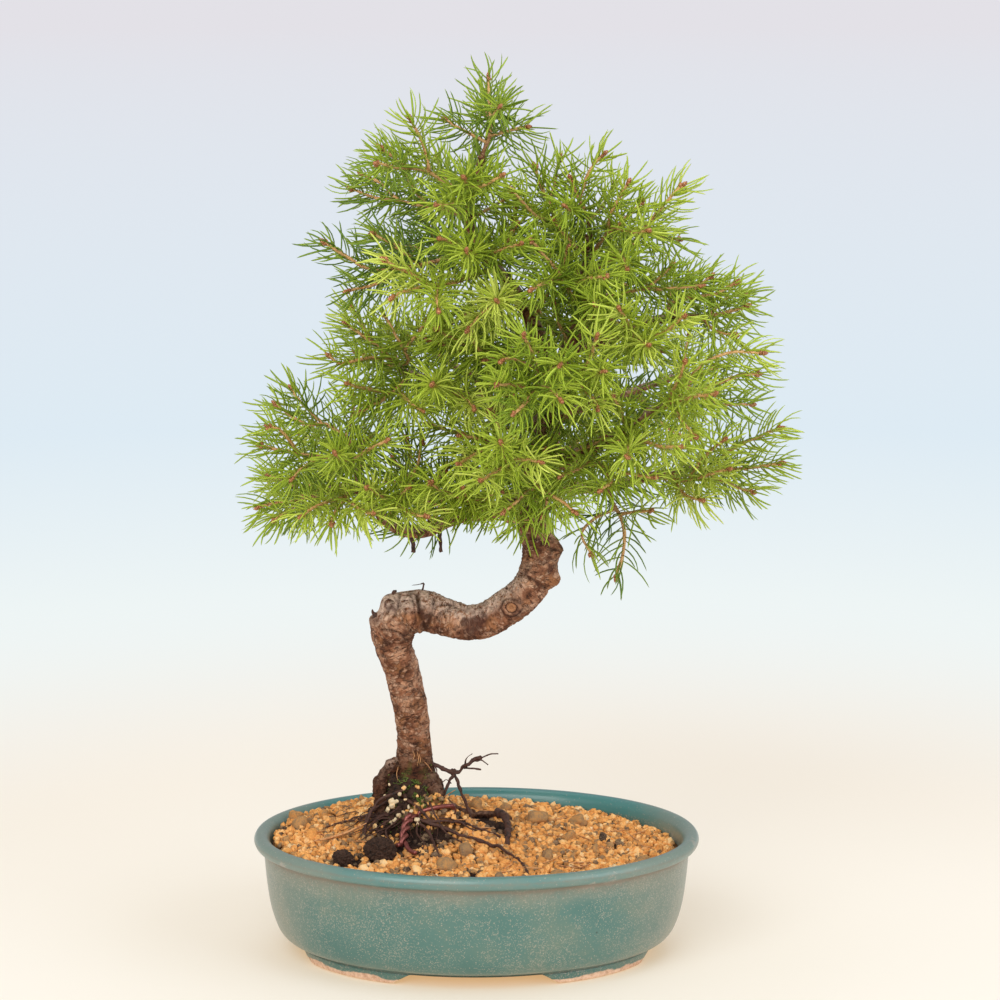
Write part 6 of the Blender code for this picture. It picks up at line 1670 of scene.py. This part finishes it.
def add_branch_needles(paints):
    """Sparser, older needles on the younger part of each branch and of the trunk."""
    draw = np.random.default_rng(77)
    rows, fresh = [], []
    trunk_top = [point for point, radius in TRUNK if radius < 4.3]
    for points, first in [(limb[0], 0.4) for limb in LIMBS.values()] + [(trunk_top, 0.05)]:
        path = even_path(points, 2.0)
        places = needle_rows(path, draw, first, 0.8, 0.95)
        rows.append(places)
        fresh.append(np.full(len(places[0]), 0.3))
    make_piece("branch_needles", needle_surface(rows, fresh, draw), paints)


def add_moss(paint, grounds):
    """Moss: short blades, close together, on the bark and the peat near its middle, and on the mound before the trunk."""
    draw = np.random.default_rng(19)
    points = np.vstack([ground.points for ground in grounds])
    share = np.exp(-(((points - MOSS_MIDDLE) / MOSS_REACH) ** 2).sum(1)) * step(0.0, 0.5, noise(points, 2.2, 77))
    on_bark = points[draw.choice(len(points), MOSS_BLADES, p=share**1.5 / (share**1.5).sum())]
    spot = np.array(MOSS_GROUND) + draw.normal(0, 1, (MOSS_BLADES // 3, 2)) * MOSS_SPREAD
    on_soil = np.column_stack([spot, soil_height(*spot.T) - 0.2])
    feet = np.vstack([on_bark, on_soil])
    away = feet - np.array([MOUND[0], MOUND[1], 0.0])
    outward = unit(away * (1, 1, 0)) * (0.8, 0.8, 0) + (0, 0, 0.5)
    ways = unit(outward + draw.normal(0, 0.45, feet.shape))
    lengths = draw.uniform(0.8, 1.9, len(feet))
    sides = square_to(ways, draw.normal(size=feet.shape))
    shape = blades(feet, ways, sides, np.full(len(feet), 0.6), lengths, np.full(len(feet), 0.17))
    quads, tris = blade_faces()
    make_piece("moss_tufts", copies(shape, quads, tris), [paint])


def add_fallen_needles(paint):
    """Dry needles lying on the soil."""
    draw = np.random.default_rng(5)
    count = 46
    angle = draw.uniform(0, 2 * math.pi, count)
    spot = 0.9 * np.sqrt(draw.random(count))[:, None] * np.stack([80 * np.cos(angle), 60 * np.sin(angle)], 1)
    feet = np.column_stack([spot, soil_height(*spot.T) + 1.35])
    turn = draw.uniform(0, 2 * math.pi, count)
    ways = unit(np.stack([np.cos(turn), np.sin(turn), draw.uniform(-0.02, 0.1, count)], 1))
    sides = square_to(ways, draw.normal(size=(count, 3)) * (1, 1, 0.1))
    shape = blades(feet, ways, sides, np.full(count, 0.4), draw.uniform(8, 13, count), np.full(count, 0.33))
    quads, tris = blade_faces()
    make_piece("fallen_needles", copies(shape, quads, tris), [paint])


def srgb(red, green, blue):
    """A colour given in 0 to 255 as seen on screen, in the linear values that materials take."""
    share = np.array([red, green, blue]) / 255
    return tuple(np.where(share <= 0.04045, share / 12.92, ((share + 0.055) / 1.055) ** 2.4).tolist())


def add_floor():
    """A pale floor that takes the shadow near the pot, and turns into an even glow further off."""
    half = 60.0
    mesh = bpy.data.meshes.new("floor")
    mesh.from_pydata([(-half, -half, -0.0004), (half, -half, -0.0004), (half, half, -0.0004), (-half, half, -0.0004)],
                     [], [(0, 1, 2, 3)])
    paint = Paint("pale_floor", Roughness=0.8, Specular_IOR_Level=0.0, Emission_Strength=1.0)
    far = paint.maths("LOGARITHM", paint.add("VectorMath", {0: paint.places()}, operation="LENGTH").node.outputs["Value"], 10.0)
    share = paint.between(far, math.log10(0.3), math.log10(0.75))
    place = paint.maths("MULTIPLY_ADD", far, 0.4, 0.4)
    glow = paint.ramp(place, (0.2, srgb(248, 247, 242)), (0.36, srgb(238, 245, 245)), (0.48, srgb(222, 235, 244)),
                      (0.7, srgb(224, 230, 238)), (0.95, srgb(227, 225, 231)))
    paint.feed(paint.shader, {"Base Color": paint.mix(share, FLOOR_COLOUR, (0.0, 0.0, 0.0)),
                              "Emission Color": paint.mix(share, FLOOR_GLOW, glow)})
    mesh.materials.append(paint.finish())
    floor = bpy.data.objects.new("floor", mesh)
    bpy.context.scene.collection.objects.link(floor)


def add_light(name, place, size, power, colour=(1.0, 1.0, 1.0)):
    """A square soft light that faces the middle of the tree."""
    light = bpy.data.lights.new(name, "AREA")
    light.size = size
    light.energy = power
    light.color = colour
    lamp = bpy.data.objects.new(name, light)
    lamp.location = place
    lamp.rotation_euler = (Vector((0, 0, 0.17)) - Vector(place)).to_track_quat("-Z", "Y").to_euler()
    bpy.context.scene.collection.objects.link(lamp)


def add_world():
    """A plain pale world, which the camera sees as the floor's furthest colour."""
    world = bpy.data.worlds.new("studio")
    bpy.context.scene.world = world
    world.use_nodes = True
    tree = world.node_tree
    tree.nodes.clear()
    sight = tree.nodes.new("ShaderNodeLightPath")
    lit = tree.nodes.new("ShaderNodeBackground")
    seen = tree.nodes.new("ShaderNodeBackground")
    choice = tree.nodes.new("ShaderNodeMixShader")
    out = tree.nodes.new("ShaderNodeOutputWorld")
    lit.inputs["Color"].default_value = (0.93, 0.97, 1.0, 1.0)
    lit.inputs["Strength"].default_value = WORLD_STRENGTH
    seen.inputs["Color"].default_value = (*srgb(227, 225, 231), 1.0)
    tree.links.new(sight.outputs["Is Camera Ray"], choice.inputs["Fac"])
    tree.links.new(lit.outputs[0], choice.inputs[1])
    tree.links.new(seen.outputs[0], choice.inputs[2])
    tree.links.new(choice.outputs[0], out.inputs["Surface"])


def add_camera():
    """The photo's view: in front, a little above the crown, and tilted down."""
    scene = bpy.context.scene
    lens = bpy.data.cameras.new("camera")
    lens.lens = CAMERA_LENS
    lens.sensor_width = CAMERA_SENSOR
    lens.clip_end = 200.0
    camera = bpy.data.objects.new("camera", lens)
    camera.location = Vector(placed(CAMERA_PLACE))
    camera.rotation_euler = (math.pi / 2 - CAMERA_TILT, 0, 0)
    scene.collection.objects.link(camera)
    scene.camera = camera
    scene.view_settings.view_transform = "Standard"


def main():
    speckles, grain = make_speckle_group(), make_grain_group()
    glaze = glaze_paint(speckles, grain)
    bark = bark_paint(grain)
    grit = grit_paint(speckles, grain)
    needles = [needle_paint(), twig_paint(grain), bud_paint()]
    add_pot(glaze)
    add_soil(bed_paint(grain), grit)
    barks = add_wood(bark, plain_paint("root_bark", grain, (0.005, 0.003, 0.002), (0.08, 0.028, 0.016), 600.0, 0.65))
    add_wire(plain_paint("brown_wire", grain, (0.17, 0.042, 0.034), (0.27, 0.08, 0.065), 300.0, 0.34, 0.08, 0.6))
    packed = add_clods(plain_paint("peat_crumbs", grain, (0.004, 0.003, 0.002), (0.06, 0.027, 0.015), 700.0, 0.95, 0.9))
    straw = plain_paint("dry_straw", grain, (0.35, 0.1, 0.03), (0.68, 0.33, 0.13), 500.0, 0.6)
    add_straw(straw)
    for seed, (name, (_, routes)) in enumerate(SPRAYS.items()):
        add_spray(name, routes, FRESHNESS.get(name, USUAL_FRESHNESS), needles, seed, ["spray_" + name])
    add_spray("inner", INNER_TWIGS, USUAL_FRESHNESS, needles, 90, [], joins=False)
    add_branch_needles(needles[:1])
    add_moss(plain_paint("moss_green", grain, (0.03, 0.06, 0.008), (0.19, 0.27, 0.045), 600.0, 0.8), barks + packed)
    add_fallen_needles(straw)
    mesh_black = plain_paint("net_plastic", grain, (0.012, 0.012, 0.012), (0.03, 0.03, 0.03), 300.0, 0.45)
    for side in ("left", "right"):
        net = bpy.data.objects["drain_net_" + side]
        net.data.materials.clear()
        net.data.materials.append(mesh_black)
    add_floor()
    add_light("key_light", (-0.5, -1.25, 0.9), 1.1, KEY_POWER, (1.0, 0.98, 0.94))
    add_light("top_light", (0.1, 0.15, 1.7), 1.4, TOP_POWER)
    add_light("fill_light", (1.25, -0.8, 0.7), 1.2, FILL_POWER, (0.94, 0.97, 1.0))
    add_world()
    add_camera()


main()
